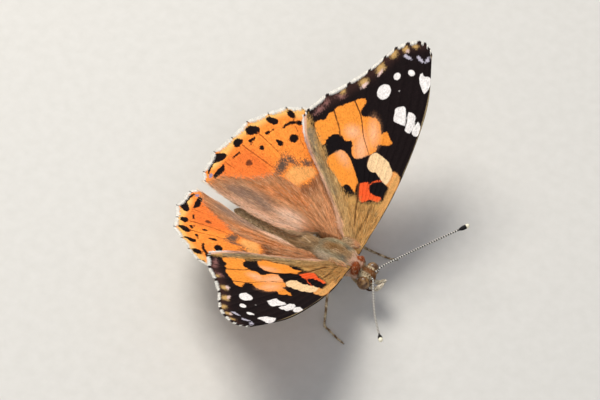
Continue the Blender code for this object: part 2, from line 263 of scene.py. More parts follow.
# Wing lines from root to outer edge, (span, back): leading edge, veins from front to back, inner edge
FORE_LINES = [
    [(0.10, -0.70), (8.0, -1.30), (15.5, -1.02), (23.0, 0.10), (30.1, 2.90)],
    [(0.10, -0.50), (8.5, -0.55), (16.5, -0.20), (24.0, 1.00), (30.7, 3.60)],
    [(0.10, -0.35), (9.0, 0.15), (17.5, 0.80), (24.8, 2.20), (31.2, 4.40)],
    [(0.10, -0.20), (9.3, 0.90), (17.6, 1.90), (24.6, 3.40), (31.1, 5.40)],
    [(0.10, -0.05), (9.5, 1.60), (17.4, 3.00), (24.2, 4.80), (30.2, 6.80)],
    [(0.10, 0.10), (9.6, 2.30), (16.9, 4.00), (23.3, 6.10), (28.8, 8.05)],
    [(0.10, 0.25), (9.6, 3.00), (16.3, 5.10), (22.2, 7.50), (26.9, 8.85)],
    [(0.10, 0.40), (9.3, 3.60), (15.2, 6.30), (20.2, 8.80), (24.2, 10.0)],
    [(0.10, 0.60), (8.3, 4.30), (13.4, 6.90), (17.9, 9.60), (21.2, 11.8)],
    [(0.10, 0.85), (6.7, 4.80), (11.4, 8.10), (15.3, 11.2), (18.4, 14.0)],
    [(0.10, 1.20), (5.2, 5.40), (9.0, 9.10), (12.3, 12.6), (15.2, 15.5)],
    [(0.10, 1.50), (4.2, 5.60), (7.9, 9.90), (11.1, 13.6), (14.3, 15.6)],
]
HIND_LINES = [
    [(0.10, 2.00), (4.3, 3.50), (9.2, 6.80), (13.3, 10.7), (15.9, 14.7)],
    [(0.10, 2.50), (4.4, 5.20), (8.6, 8.50), (12.3, 12.3), (15.5, 16.7)],
    [(0.10, 3.00), (4.1, 6.70), (7.8, 10.3), (11.3, 14.4), (14.5, 18.7)],
    [(0.10, 3.45), (3.7, 7.90), (6.8, 11.9), (9.7, 16.2), (12.6, 20.7)],
    [(0.10, 3.90), (3.1, 8.80), (5.6, 13.1), (7.9, 17.9), (10.2, 22.9)],
    [(0.10, 4.35), (2.4, 9.30), (4.2, 14.0), (5.8, 19.0), (7.1, 23.8)],
    [(0.10, 4.75), (1.6, 9.60), (2.6, 14.5), (3.4, 19.8), (4.1, 25.1)],
    [(0.10, 5.10), (0.6, 9.70), (0.9, 14.6), (0.9, 20.0), (0.6, 24.9)],
]
HIND_INNER = {
    "left": [(0.10, 5.50, -0.95), (-1.85, 9.6, 1.92), (-2.05, 14.4, 1.80), (-1.35, 20.0, 1.40),
             (-0.5, 24.1, 1.16)],
    "right": [(0.10, 5.50, -0.95), (-0.30, 9.6, -0.40), (-0.30, 14.4, -0.30), (-0.60, 20.0, 0.50),
              (-0.5, 24.1, 1.16)],
}
SIDES = {"left": 1, "right": -1}

FORE_MARKS = {
    "border": [stroke([(31.0, 4.5), (29.0, 7.4), (24.5, 9.6), (20.5, 12.0), (17.5, 14.2)], 0.8, 1.3)],
    "plum": [oval(15.9, 13.9, 0.7, 0.32, -20), oval(19.0, 11.9, 0.5, 0.25, 130),
             oval(17.3, 13.4, 0.35, 0.25)],
    "orange": [
        blob((7.1, 3.9), (7.9, 4.1), (8.7, 4.2), (9.5, 4.9), (10.6, 5.9), (11.6, 6.95), (11.9, 7.8),
             (11.8, 8.5), (11.3, 8.8), (10.9, 9.3), (10.2, 9.7), (9.5, 9.6), (8.9, 9.1), (8.2, 7.7),
             (7.4, 6.6), (7.1, 5.9), (7.6, 5.3), (7.4, 4.6)),
        blob((11.5, 6.1), (12.0, 5.4), (12.6, 4.8), (13.1, 4.2), (13.8, 3.8), (14.6, 4.0), (14.9, 3.5),
             (15.2, 2.7), (15.7, 2.2), (16.1, 2.7), (16.6, 3.2), (16.9, 3.8), (16.3, 4.2), (17.4, 4.9),
             (18.0, 5.7), (18.0, 6.6), (17.6, 7.7), (18.1, 8.4), (19.0, 8.3), (19.8, 8.3), (20.0, 8.9),
             (19.6, 9.5), (19.1, 9.9), (18.6, 10.5), (17.8, 11.2), (17.2, 11.8), (16.5, 11.9), (16.0, 12.4),
             (15.0, 12.5), (14.5, 13.2), (13.8, 13.6), (12.7, 12.9), (11.7, 11.8), (11.4, 11.1), (12.5, 10.6),
             (13.4, 9.6), (13.0, 8.6), (13.4, 7.8), (12.6, 7.2), (11.8, 6.7)),
    ],
    "salmon": [oval(13.3, 5.9, 2.2, 0.9, 22), oval(16.0, 5.3, 1.6, 0.7, 25), oval(14.9, 8.0, 0.9, 1.1),
               oval(11.2, 7.9, 0.5, 1.2, -35)],
    "red": [blob((7.1, 0.3), (7.8, 0.1), (8.4, 1.0), (8.6, 2.3), (9.2, 2.8), (9.0, 3.4), (8.5, 3.8),
                 (7.6, 3.5), (6.6, 3.0), (6.1, 2.5), (6.5, 1.9), (7.0, 1.4)),
            stroke([(8.6, 2.55), (9.6, 1.95), (10.25, 1.1)], 0.2, 0.14)],
    "amber": [blob((9.6, -1.3), (11.0, -1.2), (11.9, -0.7), (12.1, 0.1), (11.6, 0.7), (10.5, 0.9),
                   (9.9, 0.4))],
    "cream": [blob((9.95, 0.3), (11.1, 0.15), (11.9, 0.3), (12.5, 0.9), (13.0, 1.4), (13.3, 2.2), (13.5, 3.1),
                   (13.5, 3.8), (12.9, 4.2), (12.1, 4.2), (11.3, 4.0), (10.8, 3.4), (10.75, 2.9), (10.9, 2.4),
                   (10.5, 1.8), (10.2, 1.2))],
    "black": [
        oval(8.85, 1.0, 1.38, 1.03, 98),
        blob((8.7, 3.9), (9.1, 3.1), (9.4, 2.6), (10.0, 1.9), (10.35, 1.4), (10.6, 2.0), (10.85, 2.5),
             (10.7, 3.0), (10.9, 3.7), (11.5, 4.15), (12.7, 4.4), (12.4, 4.8), (11.9, 5.35), (11.55, 5.95),
             (11.8, 6.6), (12.6, 7.15), (13.3, 7.3), (13.65, 7.8), (13.3, 8.5), (13.75, 9.3), (13.7, 10.1),
             (13.3, 10.6), (12.4, 11.0), (11.6, 10.8), (11.1, 10.1), (10.4, 9.8), (10.6, 9.5), (11.2, 9.2),
             (11.7, 8.7), (11.9, 8.3), (11.8, 7.6), (11.3, 6.8), (10.0, 5.3)),
        oval(7.15, 5.25, 0.5, 0.62, 15), oval(6.55, 4.75, 0.38, 0.24, 20), oval(7.0, 4.5, 0.22, 0.28),
    ],
    "white": [
        blob((18.2, -0.6), (19.3, -0.5), (19.8, -0.2), (20.1, 0.25), (19.1, 0.4), (18.1, 0.25)),
        blob((18.1, 0.6), (19.1, 0.55), (20.1, 0.75), (20.8, 1.0), (20.9, 2.05), (20.2, 1.95), (19.2, 1.6),
             (18.2, 1.4)),
        blob((18.85, 1.75), (19.65, 2.0), (20.6, 2.4), (21.3, 2.9), (21.1, 3.5), (20.5, 4.0), (19.7, 3.8),
             (18.8, 3.45), (18.75, 2.7)),
        oval(22.1, 6.64, 1.16, 0.93), oval(24.94, 5.94, 0.56, 0.48), oval(26.24, 4.3, 0.44, 0.53, -15),
        oval(23.1, 4.7, 0.13, 0.1),
        blob((24.2, 1.3), (24.9, 1.05), (25.9, 1.05), (26.6, 1.4), (26.7, 1.9), (26.5, 2.4), (26.9, 2.95),
             (26.2, 3.0), (25.5, 2.65), (24.9, 2.1)),
    ],
    "lilac": [oval(28.9, 3.05, 0.5, 0.28, -15), stroke([(28.4, 3.6), (28.7, 4.4)], 0.16, 0.22),
              stroke([(28.1, 5.3), (28.15, 6.1)], 0.14, 0.28)],
    "chevron": [oval(29.1, 6.6, 0.45, 0.4), oval(30.0, 5.5, 0.28, 0.35), oval(27.7, 7.8, 0.6, 0.45, -15),
                oval(25.0, 8.6, 0.8, 0.5, -10), oval(22.2, 9.9, 0.65, 0.5, -30), oval(19.7, 12.0, 0.4, 0.3)],
    "blush": [oval(24.4, 8.35, 0.6, 0.2, -10), oval(21.8, 9.6, 0.6, 0.26, -20), oval(28.9, 6.2, 0.25, 0.2)],
    "hair": [blob((-1.0, -2.0), (3.0, -2.0), (7.2, -1.0), (6.9, 0.6), (6.0, 2.2), (6.6, 3.4), (6.3, 4.6),
                  (6.5, 5.6), (7.4, 6.6), (8.2, 7.9), (8.9, 9.3), (10.4, 10.3), (11.5, 11.4), (13.2, 13.5),
                  (14.5, 15.5), (12.0, 17.0), (-1.0, 8.0))],
    "umber": [stroke([(6.0, 6.6), (7.6, 9.0), (10.0, 11.6), (12.5, 13.7)], 0.35, 0.6)],
    "costa": [stroke([(0.0, -0.7), (5.0, -0.85), (8.0, -0.85), (11.3, -0.6)], 0.6, 0.5)],
    "tan_rim": [stroke([(12.0, -1.3), (17.0, -0.95), (23.0, 0.15), (28.0, 1.75), (31.4, 4.0)], 0.12)],
    "pink_rim": [stroke([(2.0, 3.7), (4.0, 5.9), (6.0, 8.1), (8.0, 10.5), (10.0, 12.6), (12.0, 14.3),
                         (14.3, 15.5)], 0.42, 0.3)],
    "vein": [stroke([(0.9, 0.75), (2.4, 0.9), (4.5, 0.75), (6.6, 0.9)], 0.09, 0.05),
             stroke([(1.0, 0.8), (2.0, 1.7), (3.0, 2.6)], 0.08, 0.03),
             stroke([(2.9, 1.85), (5.5, 2.8), (8.5, 3.95)], 0.07, 0.12),
             stroke([(12.9, 4.5), (15.0, 6.4), (17.5, 8.05), (19.2, 9.85)], 0.045, 0.11),
             stroke([(13.6, 9.4), (15.0, 10.4), (16.6, 11.9)], 0.09, 0.11),
             stroke([(12.3, 12.1), (13.6, 13.6)], 0.05, 0.08)],
}
FORE_DARK = srgb(22, 13, 14)

HIND_MARKS = {
    "rust": [blob((2.0, 15.5), (5.0, 15.8), (6.6, 18.0), (6.8, 21.0), (4.0, 22.8), (1.0, 22.8), (1.0, 19.0))],
    "yellow": [stroke([(15.2, 15.8), (14.3, 17.4), (13.0, 19.2), (10.7, 21.1), (8.0, 22.7), (5.0, 23.5),
                       (2.0, 24.0)], 0.5),
               oval(14.2, 16.4, 0.5, 0.6)],
    "tan": [blob((0.0, 2.0), (5.0, 2.5), (8.0, 6.0), (8.2, 9.6), (5.4, 10.2), (4.4, 11.6), (4.6, 13.6),
                 (4.6, 15.6), (3.3, 17.2), (2.3, 19.0), (1.5, 21.0), (0.5, 22.6), (-2.0, 23.0),
                 (-3.0, 14.0), (-2.5, 5.0))],
    "copper": [blob((2.2, 9.0), (4.2, 11.0), (3.8, 14.0), (2.6, 16.5), (1.6, 18.0), (1.8, 13.0))],
    "dusk": [blob((-1.0, 13.5), (0.6, 14.0), (1.2, 17.0), (0.8, 20.5), (-0.4, 21.0), (-1.2, 18.0))],
    "brown": [oval(5.9, 9.9, 1.5, 0.6, -10), oval(4.7, 10.7, 0.8, 0.6), oval(7.0, 8.9, 1.2, 0.5, 30)],
    "apricot": [blob((5.2, 11.5), (6.1, 10.9), (7.0, 10.4), (7.9, 10.6), (8.0, 11.5), (7.4, 12.5),
                     (7.0, 13.5), (6.1, 13.9), (5.2, 14.0), (4.6, 12.9), (4.3, 11.8))],
    "smudge": [oval(8.25, 12.2, 0.45, 0.9, 15), oval(7.6, 14.3, 0.45, 1.2, -8), oval(6.3, 15.1, 1.4, 0.8)],
    "umber": [oval(4.7, 19.6, 0.48, 0.45), oval(7.4, 20.7, 0.3, 0.2)],
    "black": [
        oval(10.65, 15.45, 0.70, 0.62), stroke([(9.15, 16.8), (9.35, 17.4)], 0.44, 0.24),
        oval(7.5, 19.0, 0.30, 0.45, -20), stroke([(11.5, 17.5), (12.2, 17.2), (12.9, 16.5)], 0.2, 0.25),
        stroke([(9.75, 19.3), (10.55, 18.65)], 0.27, 0.12), stroke([(7.7, 20.95), (8.35, 20.6)], 0.26, 0.2),
        stroke([(4.55, 22.05), (5.5, 21.55)], 0.16, 0.14),
        blob((0.4, 22.7), (1.1, 22.4), (1.9, 22.2), (2.6, 22.4), (3.1, 22.8), (2.2, 23.0), (1.1, 23.2),
             (0.5, 23.1)), oval(13.15, 15.85, 0.40, 0.44, 10), oval(13.75, 17.45, 0.48, 0.72, -25),
        oval(15.2, 15.75, 0.42, 0.22, -20), stroke([(11.75, 19.0), (11.7, 20.0)], 0.5, 0.42),
        stroke([(9.5, 20.9), (9.1, 21.7)], 0.58, 0.68),
        blob((5.9, 22.35), (6.6, 21.9), (7.4, 22.0), (7.3, 22.8), (6.7, 23.1), (6.2, 22.9)),
        blob((2.5, 24.1), (3.3, 23.3), (3.9, 22.9), (4.5, 23.2), (4.3, 24.0), (3.7, 24.7), (2.9, 24.6)),
        stroke([(0.6, 23.9), (1.6, 24.2), (2.6, 24.3)], 0.16, 0.24),
    ],
    "lilac": [oval(0.5, 23.45, 0.35, 0.25)],
    # Pale silky hair along the hindwing's inner fold; the oval on the fold's bulge is a painted highlight
    "silk_and_highlight": [stroke([(-1.3, 9.0), (-1.9, 13.0), (-1.7, 18.0), (-1.2, 22.5)], 0.6, 0.3),
             oval(-0.4, 10.8, 1.1, 2.2)],
    "vein": [stroke([(5.5, 16.0), (5.9, 18.0), (6.7, 21.9)], 0.06, 0.11),
             stroke([(7.6, 15.8), (8.3, 17.6), (9.3, 20.6)], 0.05, 0.1),
             stroke([(3.0, 21.0), (3.4, 22.8)], 0.05, 0.1), stroke([(9.9, 13.3), (12.6, 16.3)], 0.06, 0.08),
             stroke([(1.6, 20.8), (1.9, 22.3)], 0.04, 0.06)],
}
HIND_ORANGE = srgb(250, 144, 58)

# How each wing face is painted: (mark, colour, softness, raggedness in mm), in painting order
FORE_PAINT = [
    ("border", srgb(58, 36, 32), 0.9, 0.9), ("plum", srgb(150, 104, 98), 0.35, 0.7),
    ("orange", srgb(254, 154, 58), 0.07, 0.28), ("salmon", srgb(255, 184, 134), 0.8, 0.5),
    ("red", srgb(250, 96, 44), 0.08, 0.30), ("amber", srgb(240, 164, 92), 0.15, 0.2),
    ("cream", srgb(250, 212, 162), 0.07, 0.14), ("black", srgb(18, 12, 14), 0.06, 0.24),
    ("white", srgb(246, 240, 236), 0.06, 0.12), ("lilac", srgb(196, 190, 204), 0.12, 0.3),
    ("chevron", srgb(206, 166, 104), 0.3, 0.5), ("blush", srgb(232, 200, 190), 0.12, 0.3),
    ("hair", srgb(206, 158, 92), 0.45, 1.3), ("umber", srgb(140, 122, 96), 0.5, 0.8),
    ("costa", srgb(222, 164, 96), 0.25, 0.4), ("tan_rim", srgb(170, 150, 112), 0.06, 0.1),
    ("pink_rim", srgb(226, 178, 150), 0.12, 0.15), ("vein", srgb(96, 54, 24), 0.06, 0.05),
]
HIND_PAINT = [
    ("rust", srgb(244, 124, 54), 1.4, 0.8), ("yellow", srgb(252, 196, 112), 0.45, 0.7),
    ("tan", srgb(208, 144, 94), 0.8, 1.6), ("copper", srgb(212, 134, 74), 0.8, 1.2),
    ("dusk", srgb(154, 126, 110), 0.9, 1.2), ("brown", srgb(146, 92, 58), 0.6, 0.9),
    ("apricot", srgb(250, 174, 98), 0.35, 0.5), ("smudge", srgb(104, 82, 68), 0.45, 0.8),
    ("umber", srgb(122, 62, 34), 0.12, 0.2), ("black", srgb(24, 13, 13), 0.07, 0.22),
    # The last entry paints pale silky hair along the inner fold, with a painted highlight on the fold's bulge
    ("lilac", srgb(150, 142, 172), 0.12, 0.2), ("silk_and_highlight", srgb(214, 172, 142), 0.8, 0.9),
    ("vein", srgb(168, 84, 32), 0.06, 0.05),
]

# Underside, in the same way
MARGIN_EYES = [(10.6, 15.4, 0.85), (9.3, 17.2, 0.55), (7.5, 18.9, 0.62), (4.8, 19.7, 0.85), (2.4, 20.6, 0.5)]
FORE_UNDER = {
    "rose": [blob((0.3, 0.3), (6.5, 0.3), (12.5, 1.2), (16.5, 2.6), (18.2, 5.6), (19.0, 8.6), (16.8, 12.0),
                  (13.6, 13.6), (9.0, 10.2), (4.0, 5.2), (0.8, 1.6))],
    "black": FORE_MARKS["black"] + [
        blob((12.2, -1.0), (17.6, -0.8), (18.0, 1.8), (18.6, 4.2), (21.4, 4.6), (20.8, 8.0), (18.8, 10.6),
             (17.0, 12.6), (14.8, 14.4), (13.6, 13.6), (16.8, 12.0), (18.9, 9.0), (18.0, 5.4), (15.8, 2.4),
             (14.2, 3.6), (13.4, 1.2))],
    "cream": FORE_MARKS["cream"], "white": FORE_MARKS["white"], "amber": FORE_MARKS["amber"],
    "moss": [oval(23.3, 1.4, 0.7, 1.0), oval(23.0, 4.6, 0.8, 0.7), oval(27.8, 3.0, 0.6, 1.1),
             # The first entry here is pale silky hair on the inner fold, lighter still as a painted highlight
             # on its bulge
             oval(25.6, 7.4, 1.4, 0.5)],
    "ring": [oval(22.1, 6.64, 1.5, 1.25), oval(24.94, 5.94, 0.9, 0.8), oval(26.24, 4.3, 0.8, 0.85)],
    "band": [stroke([(30.6, 3.8), (29.6, 6.4), (26.8, 8.2), (23.6, 9.5), (20.6, 11.6), (18.0, 13.6)], 0.35)],
    "base": [stroke([(0.2, 0.6), (4.5, 0.2), (8.0, -0.6), (11.5, -0.9)], 1.0, 0.3)],
    "vein": [stroke(line, 0.05) for line in FORE_LINES[2:10]],
}
HIND_UNDER = {
    "moss": [oval(2.6, 6.4, 1.3, 0.9, 40), oval(5.6, 7.6, 1.3, 0.8, 50), oval(3.4, 10.4, 1.1, 0.8, 60),
             oval(6.6, 12.6, 1.3, 0.8, 40), oval(9.9, 11.6, 0.9, 0.9), oval(4.6, 15.6, 1.3, 0.8, 60),
             oval(8.6, 14.4, 0.9, 0.7, 50), oval(1.2, 12.6, 0.8, 1.5), oval(1.6, 17.6, 0.9, 1.4)],
    "pale": [stroke([(0.8, 14.8), (4.0, 13.4), (7.4, 10.9), (9.4, 9.2)], 0.75, 0.5),
             oval(7.4, 8.4, 0.9, 0.6, 40), oval(4.6, 8.6, 0.7, 0.9), oval(11.2, 12.4, 0.7, 0.9),
             oval(2.6, 8.6, 0.6, 0.9), oval(6.0, 14.4, 0.6, 0.6),
             stroke([(2.0, 18.4), (5.6, 17.6), (8.6, 15.9), (11.4, 13.6)], 0.28)],
    "ring": [oval(a, b, r + 0.34, r + 0.34) for a, b, r in MARGIN_EYES],
    "yellow": [oval(a, b, r + 0.14, r + 0.14) for a, b, r in MARGIN_EYES],
    "black": [oval(a, b, r * 0.78, r * 0.78) for a, b, r in MARGIN_EYES],
    "lilac": [oval(a, b, r * 0.42, r * 0.42) for a, b, r in MARGIN_EYES],
    "lunule": [oval(12.9, 17.0, 0.7, 0.2, 115), oval(11.2, 19.1, 0.7, 0.2, 125),
               oval(9.0, 21.0, 0.8, 0.2, 145), oval(6.5, 22.0, 0.8, 0.2, 165),
               oval(3.9, 22.9, 0.8, 0.2, 170), oval(1.5, 23.3, 0.7, 0.2)],
    "band": [stroke([(14.9, 15.6), (13.9, 17.6), (12.2, 19.6), (10.0, 21.8), (7.0, 23.0), (4.0, 24.0),
                     (1.2, 24.1)], 0.4)],
    "vein": [stroke(line, 0.10, 0.06) for line in HIND_LINES[1:]],
}
FORE_BUFF = srgb(178, 150, 108)
HIND_BUFF = srgb(172, 140, 98)
FORE_UNDER_PAINT = [
    ("moss", srgb(120, 96, 62), 0.3, 0.5), ("rose", srgb(240, 138, 96), 0.5, 0.4),
    ("base", srgb(222, 200, 176), 0.4, 0.4), ("band", srgb(222, 202, 168), 0.25, 0.3),
    ("ring", srgb(112, 84, 54), 0.2, 0.3), ("vein", srgb(226, 200, 160), 0.05, 0.05),
    ("amber", srgb(236, 198, 150), 0.15, 0.2), ("cream", srgb(250, 226, 192), 0.07, 0.14),
    ("black", srgb(34, 24, 24), 0.08, 0.24), ("white", srgb(244, 240, 234), 0.06, 0.12),
]
HIND_UNDER_PAINT = [
    ("moss", srgb(104, 82, 54), 0.25, 0.5), ("pale", srgb(232, 220, 196), 0.2, 0.4),
    ("ring", srgb(96, 74, 50), 0.14, 0.3), ("yellow", srgb(226, 190, 112), 0.08, 0.15),
    ("black", srgb(30, 24, 26), 0.07, 0.12), ("lilac", srgb(96, 122, 166), 0.08, 0.1),
    ("band", srgb(224, 178, 128), 0.2, 0.3), ("lunule", srgb(110, 120, 150), 0.08, 0.15),
    ("vein", srgb(240, 232, 214), 0.05, 0.05),
]

FRINGE = 0.36                   # the wing's membrane stops this far inside its fringe
SCALLOP = 0.24                  # hollow of the outer edge between two vein ends
GRAIN = 0.21                    # size of a face of the wings' mesh
RIDGE = (0.10, 0.035)           # height of a vein at the root and at the edge
SHEET = (0.11, 0.04)            # half thickness of a wing at its root and at its edge
PLEAT = 0.09                    # the membrane sags this much between two veins
VEIN_FOOT = 0.09                # half width of a vein's ridge
ROOT_SUNK = 0.9                 # the wing's root reaches this far into the body
FAN_HUB = (1.0, 0.5)            # the fan of streaks starts this far inside and ahead of the hinge
FAN_SPAN = 20                   # width of a whole turn of the fan in its pattern
UNDER_SHIFT = (0, 0, 7)         # moves the underside's pattern away from the upper side's
ISLAND = 0.49                   # size of a wing face on its unwrap


def line_length(line):
    return np.linalg.norm(np.array(line[-1]) - np.array(line[0]))


def lattice_columns(lines):
    """For each column, the line in front of it, and how far it is from there to the next line."""
    columns = []
    for index, (front, rear) in enumerate(zip(lines[:-1], lines[1:])):
        width = np.linalg.norm(np.array(front[-1]) - np.array(rear[-1]))
        steps = max(3, round(width / GRAIN))
        columns += [(index, step / steps) for step in range(steps)]
    return columns + [(len(lines) - 2, 1.0)]


def wing_lattice(lines):
    """Places (span, back) of a wing's rows and columns, with the ridge and sag at each."""
    rows = int(max(line_length(line) for line in lines) / GRAIN)
    shares = np.linspace(0, 1, rows)
    places, ridges, sags = [], [], []
    for index, across in lattice_columns(lines):
        front, rear = lines[index], lines[index + 1]
        width = np.linalg.norm(np.array(front[-1]) - np.array(rear[-1]))
        hollow = SCALLOP * min(width / 2, 1.0) * 4 * across * (1 - across) * shares ** 8
        back = shares - (hollow + FRINGE * shares ** 4) / line_length(front)
        first = through(front, back)
        second = through(rear, back)
        gap = np.linalg.norm(second - first, axis=1)
        away = np.minimum(across, 1 - across) * gap
        places.append(mix(first, second, across))
        last = across == 1.0
        ridges.append(np.zeros(rows) if last else np.exp(-(away / VEIN_FOOT) ** 2))
        sags.append(4 * across * (1 - across) * np.minimum(gap / 2, 1.0))
    spots = np.stack(places, axis=1)
    spots[0] = spots[0] - (ROOT_SUNK, 0.0)
    ridge = np.stack(ridges, axis=1) * mix(*RIDGE, shares)[:, None]
    sag = np.stack(sags, axis=1) * PLEAT * ease(shares, 0.0, 0.3)[:, None]
    return spots, ridge, sag, shares


def fore_rise(spots, shares, word):
    """The forewing is flat, so it lies in its own plane."""
    return 0.0 * spots[..., 0]


LAP_LINE = 1.35                 # back less span, where the hindwing comes out from under the forewing
UNDER_LAP, CLEAR_OF_LAP = -1.08, -0.15          # the hindwing's height there, and beyond it
EDGE_DROOP = 0.35               # its outer edge hangs down by this
FOLD_SPAN = 4.2                 # its inner part turns down from this far out


def hind_rise(spots, shares, word):
    """Height over the forewing's plane, as the solids have it."""
    a, b = spots[..., 0], spots[..., 1]
    beyond = (b - a - LAP_LINE) / sqrt(2)
    height = mix(UNDER_LAP, CLEAR_OF_LAP, ease(beyond, 0.2, 3.6))
    height = height - EDGE_DROOP * ease(shares, 0.7, 1.0) * ease(a, 3.0, 8.0) * ease(beyond, 1.0, 4.0)
    inner = through(HIND_INNER[word], shares)
    fold = FOLD_SPAN * ease(shares, 0.0, 0.35) + 0.1
    lap = np.clip((fold - a) / (fold - inner[..., 0]), 0, 1)
    return mix(height, inner[..., 2], ease(lap, 0.0, 1.0))


def to_row(word, span, back, rise):
    """A place on a wing's plane, in metres in the row frame."""
    side = SIDES[word]
    x = side * (HINGE_SPREAD + span * cos(DIHEDRAL) - rise * sin(DIHEDRAL))
    z = span * sin(DIHEDRAL) + rise * cos(DIHEDRAL)
    return (np.stack([x, back, z], axis=-1) + HINGE) * MM


def to_mesh(bm, name, smooth=True):
    """A mesh from a finished bmesh, which is then let go."""
    mesh = bpy.data.meshes.new(name)
    bm.to_mesh(mesh)
    bm.free()
    mesh.polygons.foreach_set("use_smooth", np.full(len(mesh.polygons), smooth))
    return mesh


def keep(name, mesh, finishes, nodes=()):
    """Make a mesh an object that rides on the body, in place of the given solids."""
    piece = bpy.data.objects.new(name, mesh)
    bpy.context.scene.collection.objects.link(piece)
    for finish in finishes:
        mesh.materials.append(finish)
    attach(piece, "root")
    if nodes:
        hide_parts(*nodes)
    return piece


def put(mesh, name, values, kind="FLOAT", key="value"):
    layer = mesh.attributes.new(name, kind, "POINT")
    layer.data.foreach_set(key, np.asarray(values, np.float32).ravel())


def fan_place(spots):
    """Angle and distance of spots on a wing's fan of streaks, which opens from its root."""
    return np.arctan2(spots[:, 1] + FAN_HUB[1], spots[:, 0] + FAN_HUB[0]), np.hypot(*spots.T)


def wing(name, word, lines, rise, marks, under_marks, finishes):
    """A wing of two faces that meet at their rims, with raised veins and its marks as distances."""
    spots, ridge, sag, shares = wing_lattice(lines)
    rows, columns = spots.shape[:2]
    count = rows * columns
    bm = bmesh.new()
    for _ in range(2):
        bmesh.ops.create_grid(bm, x_segments=columns - 1, y_segments=rows - 1, size=1.0)
    bm.verts.ensure_lookup_table()
    bm.faces.ensure_lookup_table()
    half = (rows - 1) * (columns - 1)
    upper, lower = bm.faces[:half], bm.faces[half:]
    order = [(round((v.co.y + 1) / 2 * (rows - 1)), round((v.co.x + 1) / 2 * (columns - 1)))
             for v in bm.verts[:count]]
    for face in lower:
        face.material_index = 1
    bmesh.ops.reverse_faces(bm, faces=lower if SIDES[word] > 0 else upper)
    rims = [edge for edge in bm.edges if edge.is_boundary]
    step, line = np.array(order).T
    flat = spots[step, line]
    level = rise(spots, np.broadcast_to(shares[:, None], spots.shape[:2]), word)[step, line]
    thick = (mix(*SHEET, shares)[:, None] + ridge)[step, line]
    sag = sag[step, line]
    tops = to_row(word, flat[:, 0], flat[:, 1], level + thick - sag)
    bottoms = to_row(word, flat[:, 0], flat[:, 1], level - thick - sag)
    for vert, place in zip(bm.verts, np.vstack([tops, bottoms])):
        vert.co = place
    bmesh.ops.bridge_loops(bm, edges=rims)
    bmesh.ops.recalc_face_normals(bm, faces=bm.faces[:])
    mesh = to_mesh(bm, name)
    for mark in {**marks, **under_marks}:
        both = [nearest(side.get(mark, NOWHERE), flat) for side in (marks, under_marks)]
        put(mesh, mark, np.concatenate(both))
    angle, reach = fan_place(flat)
    fan = np.stack([angle * FAN_SPAN, reach, 0 * angle], axis=-1)
    put(mesh, "fan", np.vstack([fan, fan + UNDER_SHIFT]), "FLOAT_VECTOR", "vector")
    add_wing_islands(mesh, flat)
    keep(name, mesh, finishes, [name])
    top = np.zeros((rows, columns, 3))
    top[step, line] = tops
    return WingFace(spots, top)


def wing_unwrap(spots, low, size, island):
    """Places on a wing's unwrap: the upper face on the left half, the lower one on the right."""
    across = (spots - low) / size
    return np.stack([across[..., 0] * ISLAND + 0.5 * island, across[..., 1] * ISLAND], axis=-1)


def add_wing_islands(mesh, flat):
    low, size = flat.min(axis=0), np.ptp(flat, axis=0).max()
    both = np.vstack([wing_unwrap(flat, low, size, 0), wing_unwrap(flat, low, size, 1)])
    corners = np.zeros(len(mesh.loops), np.int32)
    mesh.loops.foreach_get("vertex_index", corners)
    layer = mesh.uv_layers.new(name="OFBake")
    layer.data.foreach_set("uv", both[corners].astype(np.float32).ravel())


class WingFace:
    """A wing's upper face as a lattice, for the hairs that lie along it."""

    def __init__(self, flat, tops):
        self.flat = flat
        self.tops = tops
        along = np.gradient(tops, axis=0)
        around = np.gradient(tops, axis=1)
        over = np.cross(around, along)
        area = np.linalg.norm(over, axis=2)
        self.area = area / MM ** 2
        over = over / np.maximum(area, 1e-12)[..., None]
        self.over = over * np.sign(over[..., 2:3] + 1e-9)
        self.pace = np.maximum(np.linalg.norm(along, axis=2) / MM, 0.02)
        self.low = flat.reshape(-1, 2).min(axis=0)
        self.size = np.ptp(flat.reshape(-1, 2), axis=0).max()

    def pick(self, field, row, column):
        """A lattice's value between its points; past the outer edge it goes on straight."""
        rows, columns = field.shape[:2]
        first = np.clip(row.astype(int), 0, rows - 2)
        side = np.clip(column.astype(int), 0, columns - 2)
        t = np.clip(row - first, -2.0, 40.0)[:, None]
        u = np.clip(column - side, -2.0, 3.0)[:, None]
        flat = field.reshape(rows, columns, -1)
        near = mix(flat[first, side], flat[first, side + 1], u)
        return mix(near, mix(flat[first + 1, side], flat[first + 1, side + 1], u), t)

    def unwrap(self, row, column):
        return wing_unwrap(self.pick(self.flat, row, column), self.low, self.size, 0)

    def outward(self, row, column):
        """A place on the face, and the step from there to the next row."""
        base = self.pick(self.tops, row, column)
        return base, self.pick(self.tops, row + 1.0, column) - base


BENDS = (0.33, 0.68, 1.0)       # a hair's two bends and its tip, as shares of its length


